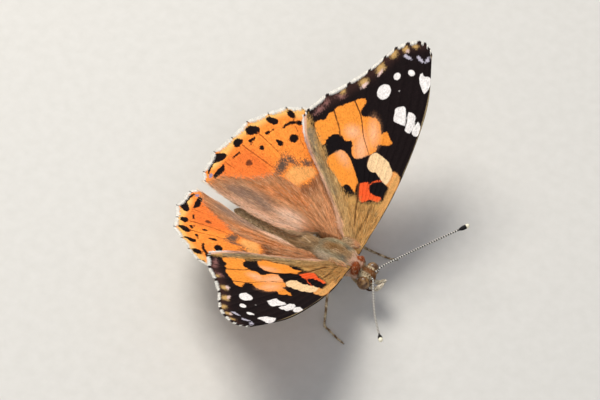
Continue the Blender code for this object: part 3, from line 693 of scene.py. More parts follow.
def wing_hair(name, face, count, density, lie, tint, finish):
    """Hairs along a wing's fan, whose tips keep to the area of the density."""
    weight = face.area * density(face.flat.reshape(-1, 2)).reshape(face.area.shape)
    odds = weight.ravel() / weight.sum()
    cell = RNG.choice(len(odds), count, p=odds)
    row, column = np.unravel_index(cell, weight.shape)
    row = row + RNG.random(count) - 0.5
    column = column + RNG.random(count) - 0.5
    spots = face.pick(face.flat, row, column)
    length, width, lift, sweep = lie(spots)
    length = length * RNG.uniform(0.65, 1.2, count)
    lift = lift * RNG.uniform(0.3, 1.6, count)
    pace = face.pick(face.pace, row, column)[:, 0]
    row = np.maximum(row - 0.8 * length / pace, 0.5)
    sweep = sweep + RNG.normal(0.0, 0.10, count)
    over = face.pick(face.over, row, column)
    across = unit(np.cross(over, face.outward(row, column)[1]))
    paths = []
    for part in (-0.03, *BENDS):
        spot = face.pick(face.tops, row + length * part / pace, column)
        side = (length * sweep * part * MM)[:, None]
        high = (length * lift * max(part, 0.0) ** 1.3 + 0.03)[:, None] * MM
        paths.append(spot + across * side + over * high)
    colours = tint(spots) * (RNG.uniform(0.88, 1.12, count) * streaks(spots))[:, None]
    return strands(name, paths, over, width, colours, face.unwrap(row, column), finish)


def streaks(spots):
    """Light and dark streaks that run along a wing from its root, from about 0.8 to 1.2."""
    angle, reach = fan_place(spots)
    wave = np.sin(61 * angle + 1.5 * np.sin(0.8 * reach)) + np.sin(97 * angle + 2.0 + 0.9 * reach)
    return 1.0 + 0.09 * wave + 0.05 * np.sin(23 * angle + 0.5 * reach)


FRINGE_STEP = 0.055             # from one hair of the fringe to the next
FRINGE_LAYERS = 3
FRINGE_WIDTH = 0.085
FRINGE_LENGTH = (0.50, 0.66)
FRINGE_WHITE = tone(250, 246, 236)
FRINGE_DARK = tone(46, 32, 30)
MARGIN_WIDTH = 0.07
MARGIN_SUNK = 0.08              # a margin hair's root lies this far under the face


def wing_fringe(name, face, lines, gap, finish):
    """Short scale hairs along the outer edge, white between the vein ends and dark at them."""
    rows, columns = face.flat.shape[:2]
    step = reach_along(face.tops[-1]) / MM
    ends = [step[at] for at, (_, across) in enumerate(lattice_columns(lines)) if across == 0.0]
    ends.append(step[-1])
    stops = np.tile(np.arange(0.0, step[-1], FRINGE_STEP), FRINGE_LAYERS)
    stops = stops + RNG.uniform(-0.03, 0.03, len(stops))
    count = len(stops)
    column = np.interp(stops, step, np.arange(columns))
    row = np.full(count, rows - 1.0) - RNG.uniform(0.0, 1.2, count)
    base, ahead = face.outward(row, column)
    ahead = unit(ahead)
    over = face.pick(face.over, row, column)
    level = RNG.uniform(-0.07, 0.0, count)[:, None] * MM
    near = np.min(np.abs(stops[:, None] - np.array(ends)[None]), axis=1)
    dark = ease(near + RNG.normal(0.0, 0.04, count), gap + 0.05, gap - 0.05)[:, None]
    hollow = ease(near, 0.1, 0.8)[:, None]
    length = (RNG.uniform(*FRINGE_LENGTH, count) * MM)[:, None] * mix(0.60, 1.0, hollow)
    across = np.cross(over, ahead) * RNG.normal(0.0, 0.12, count)[:, None]
    root = base + over * level
    paths = [root + (ahead + across * part) * length * part for part in (-0.2, *BENDS)]
    colours = mix(FRINGE_WHITE, FRINGE_DARK, dark) * RNG.uniform(0.85, 1.05, count)[:, None]
    return strands(name, paths, over, FRINGE_WIDTH, colours, face.unwrap(row, column), finish)


def margin_hair(name, face, finish, start, end, tint, length, step=0.05, turn=0.55):
    """Pale hairs along the inner edge, from one share of its length to another."""
    rows, columns = face.flat.shape[:2]
    reach = reach_along(face.tops[:, -1]) / MM
    stops = np.tile(np.arange(start * reach[-1], end * reach[-1], step), FRINGE_LAYERS)
    count = len(stops)
    row = np.interp(stops + RNG.uniform(-0.03, 0.03, count), reach, np.arange(rows))
    column = columns - 1.0 - RNG.uniform(0.0, 0.6, count)
    base, ahead = face.outward(row, column)
    out = unit(base - face.pick(face.tops, row, column - 1.0))
    over = face.pick(face.over, row, column)
    way = unit(unit(ahead) + out * (turn * RNG.uniform(0.6, 1.4, count))[:, None])
    spots = face.pick(face.flat, row, column)
    size = (length(spots) * RNG.uniform(0.6, 1.2, count) * MM)[:, None]
    sunk = MARGIN_SUNK * MM
    paths = [base + way * size * part - over * (sunk * (1 - part)) for part in (-0.1, *BENDS)]
    colours = tint(spots) * RNG.uniform(0.85, 1.1, count)[:, None]
    return strands(name, paths, over, MARGIN_WIDTH, colours, face.unwrap(row, column), finish)


def wing_finish(name, ground, paint):
    """Scales in slightly uneven rows, painted with each mark in turn."""
    made = Finish(name, roughness=0.8, shine=0.1)
    fan = made.attribute("fan", "Vector")
    place = made.place()
    streak = made.noise(made.stretched(fan, 9.0, 1.6), 1.0, 3.0, 0.6)
    grain = made.noise(place, 4.5, 3.0, 0.6)
    scales = made.scales(made.stretched(fan, 7.0, 5.0))
    ragged = streak * 0.45 + grain * 0.35 + scales * 0.2 - 0.5
    lighter = tuple(c * 1.5 for c in ground[:3]) + (1.0,)
    colour = made.blend(made.smooth(grain, 0.45, 0.75), ground, lighter)
    for mark, tint, soft, rough in paint:
        away = made.attribute(mark) + ragged * (rough * 2.6)
        colour = made.blend(made.smooth(away, -soft, soft, 1.0, 0.0), colour, tint)
    colour = made.shade(colour, scales, 0.84, 1.12)
    colour = made.shade(colour, streak, 0.74, 1.22)
    return made.finish(colour, made.bump(scales * 0.5 + streak, 0.5, 0.05))


# Paths of the limbs in the body's own frame, as in the solids
EYE_PLACE = (1.50, -3.00, -2.20)
EYE_SIZE = (0.84, 0.97, 1.06)
PALP_PATH = [(0.56, -3.80, -3.30), (0.66, -4.55, -3.42), (0.60, -5.12, -2.80), (0.34, -5.58, -1.90)]
TONGUE_CENTRE = (0.0, -3.45, -4.55)
ANTENNA_PATHS = {
    "left": [(0.42, -3.55, -1.55), (0.72, -4.10, -1.00), (1.35, -4.45, -0.45), (5.15, -6.85, 0.15),
             (8.70, -9.45, 1.00), (12.6, -12.4, 1.95)],
    "right": [(0.42, -3.55, -1.55), (0.95, -4.20, -1.45), (1.85, -4.60, -1.35), (5.75, -6.55, -0.60),
              (8.70, -8.20, 0.35), (12.4, -10.6, 1.70)],
}
LEGS = {
    "midleg": [(0.80, 1.75, -3.60), (1.20, 1.70, -4.32), (4.90, 0.90, -2.90), (7.80, -0.50, -6.72),
               (8.40, -2.90, -7.36), (8.75, -4.05, -7.36)],
    "hindleg": [(0.80, 3.75, -3.50), (1.15, 3.95, -4.20), (4.30, 7.30, -3.10), (6.40, 11.0, -6.72),
                (7.00, 13.5, -7.36), (7.35, 14.7, -7.36)],
}
FORELEG_PATH = [(0.36, -0.85, -3.05), (0.44, -1.05, -3.55), (0.62, -1.75, -3.76), (0.86, -2.35, -3.80),
                (0.84, -2.95, -3.90)]

# Body skin from front to back: (back, centre height, half width, half height). It lies inside the
# solids by the depth of the coat.
SKIN = [
    (-4.08, -2.25, 0.00, 0.00), (-3.92, -2.25, 0.60, 0.66), (-3.55, -2.19, 0.94, 0.98),
    (-3.05, -2.14, 1.08, 1.08), (-2.50, -2.07, 1.04, 1.00), (-2.10, -1.86, 0.92, 0.90),
    (-1.75, -1.62, 1.22, 1.15), (-1.30, -1.50, 1.52, 1.42), (-0.80, -1.50, 1.42, 1.42),
    (-0.20, -1.50, 1.52, 1.62), (0.80, -1.50, 1.76, 1.92), (2.10, -1.50, 1.85, 2.05),
    (3.50, -1.57, 1.78, 1.90), (4.70, -1.60, 1.45, 1.52), (5.40, -1.55, 1.08, 1.12),
    (6.30, -1.50, 1.15, 1.08), (7.80, -1.50, 1.38, 1.24), (10.2, -1.45, 1.44, 1.29),
    (13.0, -1.40, 1.28, 1.24), (15.6, -1.30, 1.00, 1.01), (17.3, -1.21, 0.62, 0.66),
    (18.1, -1.17, 0.32, 0.36), (18.4, -1.15, 0.00, 0.00),
]
SKIN_SQUARE = 2.3               # exponent of the skin's rounded-square section
HEAD_FRONT, HEAD_REAR = -4.08, -1.95
COLLAR_REAR = -0.75
THORAX_REAR = 5.9
TAIL_FUR_START, TAIL_END = 5.6, 18.4
ABDOMEN_START = 6.0
ABDOMEN_RING = 1.72             # length of one ring of the abdomen


def body_row(spots):
    """Places in the body's own frame, in millimetres, as metres in the row frame."""
    return (np.asarray(spots) + HINGE) * MM


def tube_frames(path, steps):
    """Centres along a smooth path, with two directions across it at each."""
    fine = through(path, np.linspace(0, 1, 8 * steps))
    reach = reach_along(fine)
    even = np.linspace(0, reach[-1], steps)
    centres = np.stack([np.interp(even, reach, fine[:, axis]) for axis in range(3)], axis=-1)
    ahead = unit(np.gradient(centres, axis=0))
    across = np.zeros_like(ahead)
    last = np.cross(ahead[0], (0.0, 0.0, 1.0))
    if np.linalg.norm(last) < 0.3:
        last = np.cross(ahead[0], (0.0, 1.0, 0.0))
    for index, way in enumerate(ahead):
        last = last - way * (last @ way)
        last = last / np.linalg.norm(last)
        across[index] = last
    return centres, across, np.cross(across, ahead)


def tube_surface(path, radius, steps=160):
    """Surface of a tube: gives places for shares of its length and angles round it."""
    centres, across, over = tube_frames(path, steps)
    knots = np.linspace(0, 1, steps)

    def at(share, angle):
        share = np.clip(share, 0.0, 1.0)
        pick = [np.stack([np.interp(share, knots, field[:, axis]) for axis in range(3)], axis=-1)
                for field in (centres, across, over)]
        around = pick[1] * np.cos(angle)[..., None] + pick[2] * np.sin(angle)[..., None]
        return pick[0] + radius(share)[..., None] * around
    return at


def body_surface(share, angle):
    """The skin of head, neck, thorax and abdomen as one form, with the wing roots' bulge."""
    section = through(SKIN, np.clip(share, 0.0, 1.0))
    back, height, half_width, half_height = np.moveaxis(section, -1, 0)
    turn = (back - ABDOMEN_START) / ABDOMEN_RING
    ring = 1.0 + ease(back, 5.6, 7.0) * 0.045 * (np.abs(np.sin(pi * turn)) - 0.6)
    c, s = np.cos(angle), np.sin(angle)
    across = np.sign(c) * np.abs(c) ** (2 / SKIN_SQUARE) * half_width * ring
    up = np.sign(s) * np.abs(s) ** (2 / SKIN_SQUARE) * half_height * ring
    root = np.exp(-((s - 0.62) / 0.26) ** 2) * ease(back, -0.9, 0.2) * ease(back, 5.4, 4.2)
    dome = np.exp(-(across / 0.75) ** 2) * ease(back, -0.6, 0.8) * ease(back, 3.4, 2.0) * (s > 0)
    brow = np.exp(-((back + 3.0) / 0.8) ** 2 - ((s - 0.55) / 0.3) ** 2)
    lobe = np.exp(-((back + 1.40) / 0.42) ** 2 - ((np.abs(across) - 0.88) / 0.52) ** 2) * (s > 0)
    across = across + np.sign(c) * (0.34 * root + 0.10 * brow + 0.12 * lobe)
    up = up + 0.16 * root + 0.12 * dome + 0.05 * brow + 0.36 * lobe
    return np.stack([across, back, height + up], axis=-1)


def rounded_piece(name, surface, rings, sides, finishes, nodes, tint=None):
    """A closed form from a sphere whose rings follow a surface from end to end."""
    bm = bmesh.new()
    bmesh.ops.create_uvsphere(bm, u_segments=sides, v_segments=rings, radius=1.0)
    places = np.array([vert.co for vert in bm.verts])
    share = 0.5 + np.arcsin(np.clip(places[:, 2], -1, 1)) / pi
    angle = np.arctan2(places[:, 1], places[:, 0])
    spots = surface(share, angle)
    for vert, place in zip(bm.verts, body_row(spots)):
        vert.co = place
    bmesh.ops.recalc_face_normals(bm, faces=bm.faces[:])
    mesh = to_mesh(bm, name)
    put(mesh, "along", share)
    if tint is not None:
        put_colour(mesh, tint(spots))
    return keep(name, mesh, finishes, nodes)


def put_colour(mesh, colours):
    """Store a tint for each corner of a mesh."""
    layer = mesh.attributes.new("tint", "FLOAT_COLOR", "POINT")
    full = np.concatenate([colours, np.ones((len(colours), 1))], axis=1)
    layer.data.foreach_set("color", full.astype(np.float32).ravel())


# Number of hairs in each coat
HAIRS = {"forewing": 5000, "hindwing": 11000, "thorax": 11000, "collar": 4500, "head": 6500,
         "abdomen": 7000, "tegula": 3200, "leg": 900, "foreleg": 1500, "palp": 2600}

# One hair: three corners round each of its stations, a tip, and a root that closes it
HAIR_STATIONS = 3
HAIR_TAPER = (0.8, 1.0, 0.62)   # width at each station
HAIR_RIDGE = 0.8                # height of a hair's ridge, from its half width
HAIR_PATCH = 0.003              # size of a hair's patch on the unwrap
HAIR_WIDTH = 0.055              # of the long hair on thorax, collar and wings
SOFT_END = 0.15                 # half the length over which a coat thins out at its ends


def hair_faces():
    """The triangles of one hair, as the numbers of its corners."""
    faces = [(2, 1, 0)]
    for low in range(0, 3 * (HAIR_STATIONS - 1), 3):
        for corner in range(3):
            after = (corner + 1) % 3
            first = (low + corner, low + after, low + 3 + after)
            second = (low + corner, low + 3 + after, low + 3 + corner)
            faces += [first, second]
    top = 3 * (HAIR_STATIONS - 1)
    faces += [(top + corner, top + (corner + 1) % 3, top + 3) for corner in range(3)]
    return np.array(faces)


def strands(name, paths, over, width, colours, unwrap, finish):
    """Many tapered hairs as one mesh. The paths are their roots, two bends and tips, in the row frame."""
    count = len(over)
    ahead = paths[-1] - paths[0]
    across = unit(np.cross(ahead, over))
    rise = unit(np.cross(across, ahead))
    corners = []
    for centre, taper in zip(paths, HAIR_TAPER):
        reach = (np.broadcast_to(width, count) * MM * taper / 2)[:, None]
        corners += [centre - across * reach, centre + across * reach, centre + rise * reach * HAIR_RIDGE]
    corners.append(paths[-1])
    verts = np.stack(corners, axis=1)
    size = verts.shape[1]
    faces = hair_faces()[None] + (np.arange(count) * size)[:, None, None]
    faces = faces.reshape(-1, 3)
    mesh = bpy.data.meshes.new(name)
    mesh.vertices.add(count * size)
    mesh.vertices.foreach_set("co", verts.astype(np.float32).ravel())
    mesh.loops.add(len(faces) * 3)
    mesh.loops.foreach_set("vertex_index", faces.astype(np.int32).ravel())
    mesh.polygons.add(len(faces))
    mesh.polygons.foreach_set("loop_start", np.arange(0, len(faces) * 3, 3, dtype=np.int32))
    mesh.polygons.foreach_set("use_smooth", np.ones(len(faces), bool))
    mesh.update(calc_edges=True)
    mesh.validate()
    put_colour(mesh, np.repeat(colours, size, axis=0))
    put(mesh, "along", np.tile(np.append(np.repeat(np.arange(HAIR_STATIONS), 3), HAIR_STATIONS) / 3, count))
    layer = mesh.uv_layers.new(name="OFBake")
    step = np.arange(size)
    patch = np.stack([(step % 3) / 2, (step // 3) / HAIR_STATIONS], axis=-1) * HAIR_PATCH
    spots = (unwrap[:, None] + patch[None]).reshape(-1, 2)
    layer.data.foreach_set("uv", spots[faces.ravel()].astype(np.float32).ravel())
    return keep(name, mesh, [finish])


def lay(spots, length, width, lift, sweep=0.0):
    """Length, width, lift and sweep of the hair at each spot."""
    return [np.broadcast_to(value, len(spots)) for value in (length, width, lift, sweep)]


def coat(name, surface, count, density, lie, tint, finish):
    """Hairs over a surface, as dense as density(spots) from 0 to 1 and laid as lie(spots) gives."""
    picks = []
    total = 0
    while total < count:
        share = RNG.random(6 * count)
        angle = RNG.random(6 * count) * 2 * pi - pi
        here = surface(share, angle)
        along = surface(share + 0.002, angle) - here
        around = surface(share, angle + 0.02) - here
        area = np.linalg.norm(np.cross(along, around), axis=1) * density(here)
        taken = RNG.random(6 * count) < area / max(np.quantile(area, 0.98), 1e-12)
        picks.append(np.stack([share, angle], axis=-1)[taken])
        total += len(picks[-1])
    share, angle = np.concatenate(picks)[:count].T
    here = surface(share, angle)
    along = (surface(share + 0.002, angle) - here) / 0.002
    around = (surface(share, angle + 0.02) - here) / 0.02
    over = np.cross(around, along)
    centre = surface(share, angle + pi)
    over = unit(over * np.sign(np.sum(over * (here - centre), axis=1))[:, None])
    length, width, lift, sweep = lie(here)
    length = length * RNG.uniform(0.7, 1.15, count)
    lift = lift * RNG.uniform(0.5, 1.5, count)
    sweep = sweep + RNG.normal(0.0, 0.16, count)
    share_step = length * np.cos(sweep) / np.maximum(np.linalg.norm(along, axis=1), 1e-6)
    angle_step = length * np.sin(sweep) / np.maximum(np.linalg.norm(around, axis=1), 0.25)
    paths = []
    for part in (-0.04, *BENDS):
        spot = surface(share + share_step * part, angle + angle_step * part)
        high = length * lift * max(part, 0.0) ** 1.4 + 0.02 - 0.06 * (part < 0)
        paths.append(body_row(spot + over * high[:, None]))
    colours = tint(here) * RNG.uniform(0.84, 1.15, count)[:, None]
    unwrap = np.stack([(angle / (2 * pi) + 0.5) * 0.99, share * 0.99], axis=-1)
    return strands(name, paths, over, width, colours, unwrap, finish)


def shades(*pairs):
    """A colour for each spot: later (share, colour) pairs are painted over earlier ones."""
    def tint(spots):
        colours = np.zeros((len(spots), 3))
        for share, colour in pairs:
            part = share(spots) if callable(share) else np.full(len(spots), share)
            colours = mix(colours, np.array(colour[:3]), part[:, None])
        return colours
    return tint


def one_side(spots):
    """The spots with the right side's brought over to the left."""
    return np.column_stack([np.abs(spots[:, 0]), spots[:, 1:]])


def lump(x, y, z, half_x, half_y, half_z, mirror=True):
    """1 at a place, fading to 0 about the given half sizes away; on both sides alike unless mirror is off."""
    def share(spots):
        places = one_side(spots) if mirror else spots
        return np.exp(-np.sum(((places - (x, y, z)) / (half_x, half_y, half_z)) ** 2, axis=1))
    return share


def everywhere(spots):
    return np.ones(len(spots))


def underneath(spots):
    return ease(spots[:, 2], -1.7, -2.7)


def past(start, end):
    """0 ahead of start and 1 behind end, along the body."""
    return lambda spots: ease(spots[:, 1], start, end)


def freckles(share):
    return lambda spots: (RNG.random(len(spots)) < share) * 1.0


def collar_lobe(spots):
    """The collar's two plump lobes, 1 in the middle of each."""
    return np.exp(-((spots[:, 1] + 1.45) / 0.48) ** 2 - ((np.abs(spots[:, 0]) - 0.92) / 0.60) ** 2)


def collar_place(spots):
    return ease(spots[:, 1], -0.80, -0.95) * ease(spots[:, 1], -2.05, -1.9) * ease(spots[:, 2], -1.8, -1.2)


def zigzag(spots):
    """Rows of pale scales that cross the head in zigzags, beside the eyes."""
    across = np.abs(spots[:, 0])
    wave = spots[:, 1] + 0.16 * np.abs((across / 0.22) % 2 - 1)
    rows = ease(np.abs((wave / 0.34) % 1 - 0.5), 0.17, 0.27)
    return rows * ease(across, 0.34, 0.46) * ease(spots[:, 1], -1.9, -2.2) * ease(spots[:, 2], -2.0, -1.5)


BODY_TINT = shades(
    (1.0, srgb(188, 154, 112)),
    (lump(0.0, 1.7, 0.9, 0.85, 1.4, 1.2), srgb(168, 126, 74)),
    (lump(1.2, 1.9, 0.4, 0.42, 2.0, 0.9), srgb(158, 156, 126)),
    (lump(0.4, 3.9, 0.6, 1.2, 0.55, 1.0), srgb(156, 148, 122)),
    (lump(0.0, 4.7, 0.2, 0.9, 0.6, 1.0), srgb(186, 152, 110)),
    # Painted highlight: a pale patch on the right flank of the thorax only, not mirrored, where light falls
    (lump(-1.6, 2.4, 0.0, 0.5, 1.8, 0.9, False), srgb(206, 190, 166)),
    # Painted shade: darker grey on top of the thorax just behind the collar's lobes
    (lump(0.9, 0.0, 0.2, 0.35, 0.4, 0.6), srgb(112, 118, 112)),
    (past(5.0, 6.4), srgb(202, 166, 122)),
    (past(11.0, 15.0), srgb(192, 160, 120)),
    (underneath, srgb(214, 198, 168)),
    (lambda s: ease(s[:, 1], -0.55, -0.85), srgb(216, 178, 152)),
    (lambda s: ease(collar_lobe(s), 0.14, 0.28) * collar_place(s), srgb(158, 76, 34)),
    (lambda s: ease(s[:, 1], -1.88, -2.05), srgb(150, 98, 56)),
    (lambda s: ease(s[:, 1], -2.0, -2.3) * ease(s[:, 2], -2.2, -2.8), srgb(222, 206, 176)),
)


def fur_tint(spots):
    """The skin's colours with scattered pale and dark hairs."""
    colours = BODY_TINT(spots)
    pale = freckles(0.06)(spots)[:, None]
    dark = freckles(0.05)(spots)[:, None]
    return mix(mix(colours, tone(230, 208, 172), pale), tone(126, 90, 56), dark)


def thorax_lie(spots):
    y, top = spots[:, 1], ease(spots[:, 2], -2.0, -0.2)
    rear = ease(y, 3.4, 5.0)
    outward = -0.55 * rear * np.sign(spots[:, 0]) * top
    length = mix(0.9, 1.7, top) * mix(0.5, 1.0, ease(y, -0.6, 1.0)) * mix(1.0, 1.5, rear)
    return lay(spots, length, HAIR_WIDTH, mix(0.09, 0.14, top) + 0.10 * rear, outward)


def collar_lie(spots):
    return lay(spots, mix(0.75, 0.42, ease(spots[:, 1], -0.9, -1.1)), HAIR_WIDTH, 0.16)


def head_lie(spots):
    top = ease(spots[:, 2], -2.2, -1.2)
    return lay(spots, mix(0.26, 0.36, top), 0.038, mix(0.22, 0.34, top))


def abdomen_lie(spots):
    rear = ease(spots[:, 1], 6.0, 9.0)
    return lay(spots, mix(1.4, 0.55, rear), 0.085, mix(0.16, 0.10, rear))


def within(front, rear):
    """1 between two places along the body, with soft ends."""
    start, end = past(front - SOFT_END, front + SOFT_END), past(rear + SOFT_END, rear - SOFT_END)
    return lambda spots: start(spots) * end(spots)


def coat_finish(name, lift=0.2):
    """Hairs and skin: their own tint, a little streaked; darker at the roots and lighter towards the tips, as
    painted shade and light in the coat.
    """
    made = Finish(name, roughness=0.75)
    tint = made.attribute("tint", "Color")
    streak = made.noise(made.place(), 3.0, 3.0, 0.6)
    # Painted shade at the hair roots and painted light at the tips, as strong as lift
    colour = made.shade(tint, made.attribute("along"), 1.0 - lift * 0.6, 1.0 + lift)
    colour = made.shade(colour, streak, 0.80, 1.20)
    return made.finish(colour, made.bump(streak, 0.4, 0.03))


def skin_finish(name):
    """Scaly skin under the coat."""
    made = Finish(name, roughness=0.85)
    tint = made.attribute("tint", "Color")
    scales = made.scales(made.stretched(made.place(), 9.0, 5.0))
    colour = made.shade(tint, scales, 0.42, 0.78)
    return made.finish(colour, made.bump(scales, 0.6, 0.05))


def eye_finish():
    """Brown eye of fine facets, with darker spots."""
    made = Finish("eye_facets", roughness=0.25, shine=0.6)
    place = made.place()
    facets = made.cells(place, 15.0, "Distance")
    cloud = made.noise(place, 1.5, 2.0)
    colour = made.blend(made.smooth(cloud, 0.35, 0.65), srgb(104, 68, 36), srgb(168, 126, 74))
    spots = made.cells(place, 1.7, "Distance")
    colour = made.blend(made.smooth(spots, 0.12, 0.26, 0.75, 0.0), colour, srgb(58, 34, 20))
    colour = made.shade(colour, made.smooth(facets, 0.0, 0.6), 1.15, 0.7)
    return made.finish(colour, made.bump(made.smooth(facets, 0.0, 0.7, 1.0, 0.0), 0.5, 0.02))


ANTENNA_RINGS = 42
CLUB_START = 0.90               # share of the antenna's length
SHAFT_RADIUS, CLUB_RADIUS = 0.125, 0.32


def antenna_finish():
    """Ringed white and black shaft, dark club and pale tip."""
    made = Finish("antenna_rings", roughness=0.6)
    along = made.attribute("along")
    ring = made.bands(along * ANTENNA_RINGS)
    grain = made.noise(made.place(), 8.0, 3.0)
    white = made.smooth(ring + grain * 0.12, 0.27, 0.36)
    colour = made.blend(white, srgb(44, 38, 36), srgb(216, 212, 202))
    club = made.smooth(along, CLUB_START - 0.02, CLUB_START - 0.005)
    colour = made.blend(club, colour, srgb(22, 18, 20))
    tip = made.smooth(along + grain * 0.01, 0.966, 0.974)
    colour = made.blend(tip, colour, srgb(248, 240, 214))
    return made.finish(colour, made.bump(grain, 0.3, 0.02))


def antenna_radius(share):
    shaft = ease(share, CLUB_START, CLUB_START - 0.05)
    ring = 1.0 + 0.14 * np.abs(np.sin(pi * ANTENNA_RINGS * share)) * shaft
    club = ease(share, CLUB_START - 0.015, CLUB_START + 0.035)
    return mix(SHAFT_RADIUS, CLUB_RADIUS, club) * ring * rounded_ends(share, 60)


def limb_finish(name, dark, pale, rings):
    """Scaly limb, dark with a few narrow pale bands along it."""
    made = Finish(name, roughness=0.6)
    place = made.place()
    grain = made.noise(place, 5.0, 3.0, 0.6)
    band = made.bands(made.attribute("along") * rings)
    colour = made.blend(made.smooth(band + grain * 0.3, 0.25, 0.55), dark, pale)
    scales = made.scales(place, 9.0)
    colour = made.shade(colour, scales, 0.75, 1.12)
    return made.finish(colour, made.bump(scales, 0.4, 0.03))


def leg_path(joints):
    """The leg's joints with straight lengths between them."""
    points = []
    for start, end in zip(joints[:-1], joints[1:]):
        points += [mix(np.array(start), np.array(end), part) for part in (0.06, 0.35, 0.65, 0.94)]
    points[0] = np.array(joints[0])
    points[-1] = np.array(joints[-1])
    return points


LEG_STOPS = (0.0, 0.06, 0.20, 0.33, 0.38, 0.68, 0.74, 1.0)      # shares of a leg's length
LEG_RADII = (0.28, 0.32, 0.28, 0.20, 0.18, 0.15, 0.13, 0.10)
FOOT_JOINTS = 18                # in the length of a whole leg
FORELEG_RADIUS = 0.15
PALP_STOPS = (0.0, 0.35, 0.7, 1.0)
PALP_RADII = (0.20, 0.25, 0.22, 0.08)


def leg_radius(share):
    plain = np.interp(share, LEG_STOPS, LEG_RADII)
    foot = ease(share, 0.70, 0.73)
    joints = 1.0 + 0.20 * foot * (np.abs(np.sin(pi * share * FOOT_JOINTS)) - 0.4)
    return plain * joints * rounded_ends(share, 60)


def spike(bm, start, end, width):
    """A thin cone from one place to another, in the body's own frame."""
    start, end = Vector(start), Vector(end)
    way = end - start
    turn = way.to_track_quat("Z", "Y").to_matrix().to_4x4()
    place = Matrix.Translation((start + way / 2 + Vector(HINGE)) * MM) @ turn
    bmesh.ops.create_cone(bm, cap_ends=True, segments=6, radius1=width * MM, radius2=0.1 * width * MM,
                          depth=way.length * MM, matrix=place)


def spikes(name, pairs, width, finish):
    bm = bmesh.new()
    for start, end in pairs:
        spike(bm, start, end, width)
    mesh = to_mesh(bm, name, smooth=False)
    put(mesh, "along", np.full(len(mesh.vertices), 0.1))
    return keep(name, mesh, [finish])


def mirrored(path, side):
    return [(side * x, y, z) for x, y, z in path]


def add_leg(name, side, joints, finish, fur):
    path = leg_path(mirrored(joints, side))
    surface = tube_surface(path, leg_radius)
    rounded_piece(name, surface, 120, 12, [finish], [name])
    ankle, ball, tip = (Vector(place) for place in mirrored(joints, side)[-3:])
    way = (tip - ball).normalized()
    across = way.cross((0, 0, 1))
    shank = (ball - ankle).normalized()
    claw = tip + way * 0.22 - Vector((0, 0, 0.03))
    spur = ankle + shank * 0.5 + Vector((0, 0, 0.02))
    pairs = [(tip - way * 0.1, claw + across * (0.14 * turn)) for turn in (1, -1)]
    pairs += [(ankle, spur + across * (0.22 * turn)) for turn in (1, -1)]
    spikes(f"{name}_claws", pairs, 0.05, finish)
    coat(f"{name}_hair", surface, HAIRS["leg"], everywhere, leg_lie, LEG_TINT, fur)


LEG_TINT = shades(
    (1.0, srgb(176, 146, 106)), (freckles(0.35), srgb(226, 212, 184)), (freckles(0.2), srgb(96, 68, 44)))
BRUSH_TINT = shades((1.0, srgb(206, 186, 150)), (freckles(0.3), srgb(150, 116, 78)))
PALP_TINT = shades(
    (1.0, srgb(232, 220, 196)), (freckles(0.15), srgb(150, 112, 78)), (freckles(0.3), srgb(252, 248, 236)))


def leg_lie(spots):
    thigh = ease(np.abs(spots[:, 0]), 5.0, 2.0)
    return lay(spots, mix(0.22, 0.75, thigh), 0.05, mix(0.25, 0.30, thigh))


def brush_lie(spots):
    """Short hair that stands off the palps and the folded forelegs."""
    return lay(spots, 0.4, 0.045, 0.22)


def add_limbs(fur):
    leg = limb_finish("leg_scales", srgb(118, 88, 58), srgb(216, 196, 160), 9)
    antenna = antenna_finish()
    tongue = limb_finish("proboscis_rings", srgb(44, 26, 16), srgb(92, 60, 34), 30)
    palp = limb_finish("palp_scales", srgb(176, 156, 130), srgb(240, 232, 214), 3)
    eye = eye_finish()
    for word, side in SIDES.items():
        path = mirrored(ANTENNA_PATHS[word], side)
        rounded_piece(f"antenna_{word}", tube_surface(path, antenna_radius), 320, 12, [antenna],
                      [f"antenna_{word}"])
        add_eye(word, side, eye)
        add_palp(word, side, palp, fur)
        for limb, joints in LEGS.items():
            add_leg(f"{limb}_{word}", side, joints, leg, fur)
        path = mirrored(FORELEG_PATH, side)
        surface = tube_surface(path, lambda share: FORELEG_RADIUS * rounded_ends(share, 20))
        rounded_piece(f"foreleg_{word}", surface, 60, 12, [leg], [f"foreleg_{word}"])
        coat(f"foreleg_{word}_hair", surface, HAIRS["foreleg"], everywhere, brush_lie, BRUSH_TINT,
             fur)
    add_tongue(tongue)


def add_eye(word, side, finish):
    bm = bmesh.new()
    bmesh.ops.create_uvsphere(bm, u_segments=48, v_segments=32, radius=MM)
    bmesh.ops.scale(bm, vec=EYE_SIZE, verts=bm.verts[:])
    place = Vector((side * EYE_PLACE[0], EYE_PLACE[1], EYE_PLACE[2])) + Vector(HINGE)
    bmesh.ops.translate(bm, vec=place * MM, verts=bm.verts[:])
    keep(f"eye_{word}", to_mesh(bm, f"eye_{word}"), [finish], [f"eye_{word}"])


def add_palp(word, side, finish, fur):
    path = mirrored(PALP_PATH, side)

    def radius(share):
        return np.interp(share, PALP_STOPS, PALP_RADII) * rounded_ends(share, 24)
    surface = tube_surface(path, radius)
    rounded_piece(f"palp_{word}", surface, 60, 14, [finish], [f"palp_{word}"])
    coat(f"palp_{word}_hair", surface, HAIRS["palp"], everywhere, brush_lie, PALP_TINT, fur)


TONGUE_OUTER = 0.80
TONGUE_TURNS = 1.55
TONGUE_PITCH = 0.42
TONGUE_START = radians(80)
TONGUE_RADII = (0.17, 0.11)     # at the head and at its tip
TONGUE_RINGS = 60


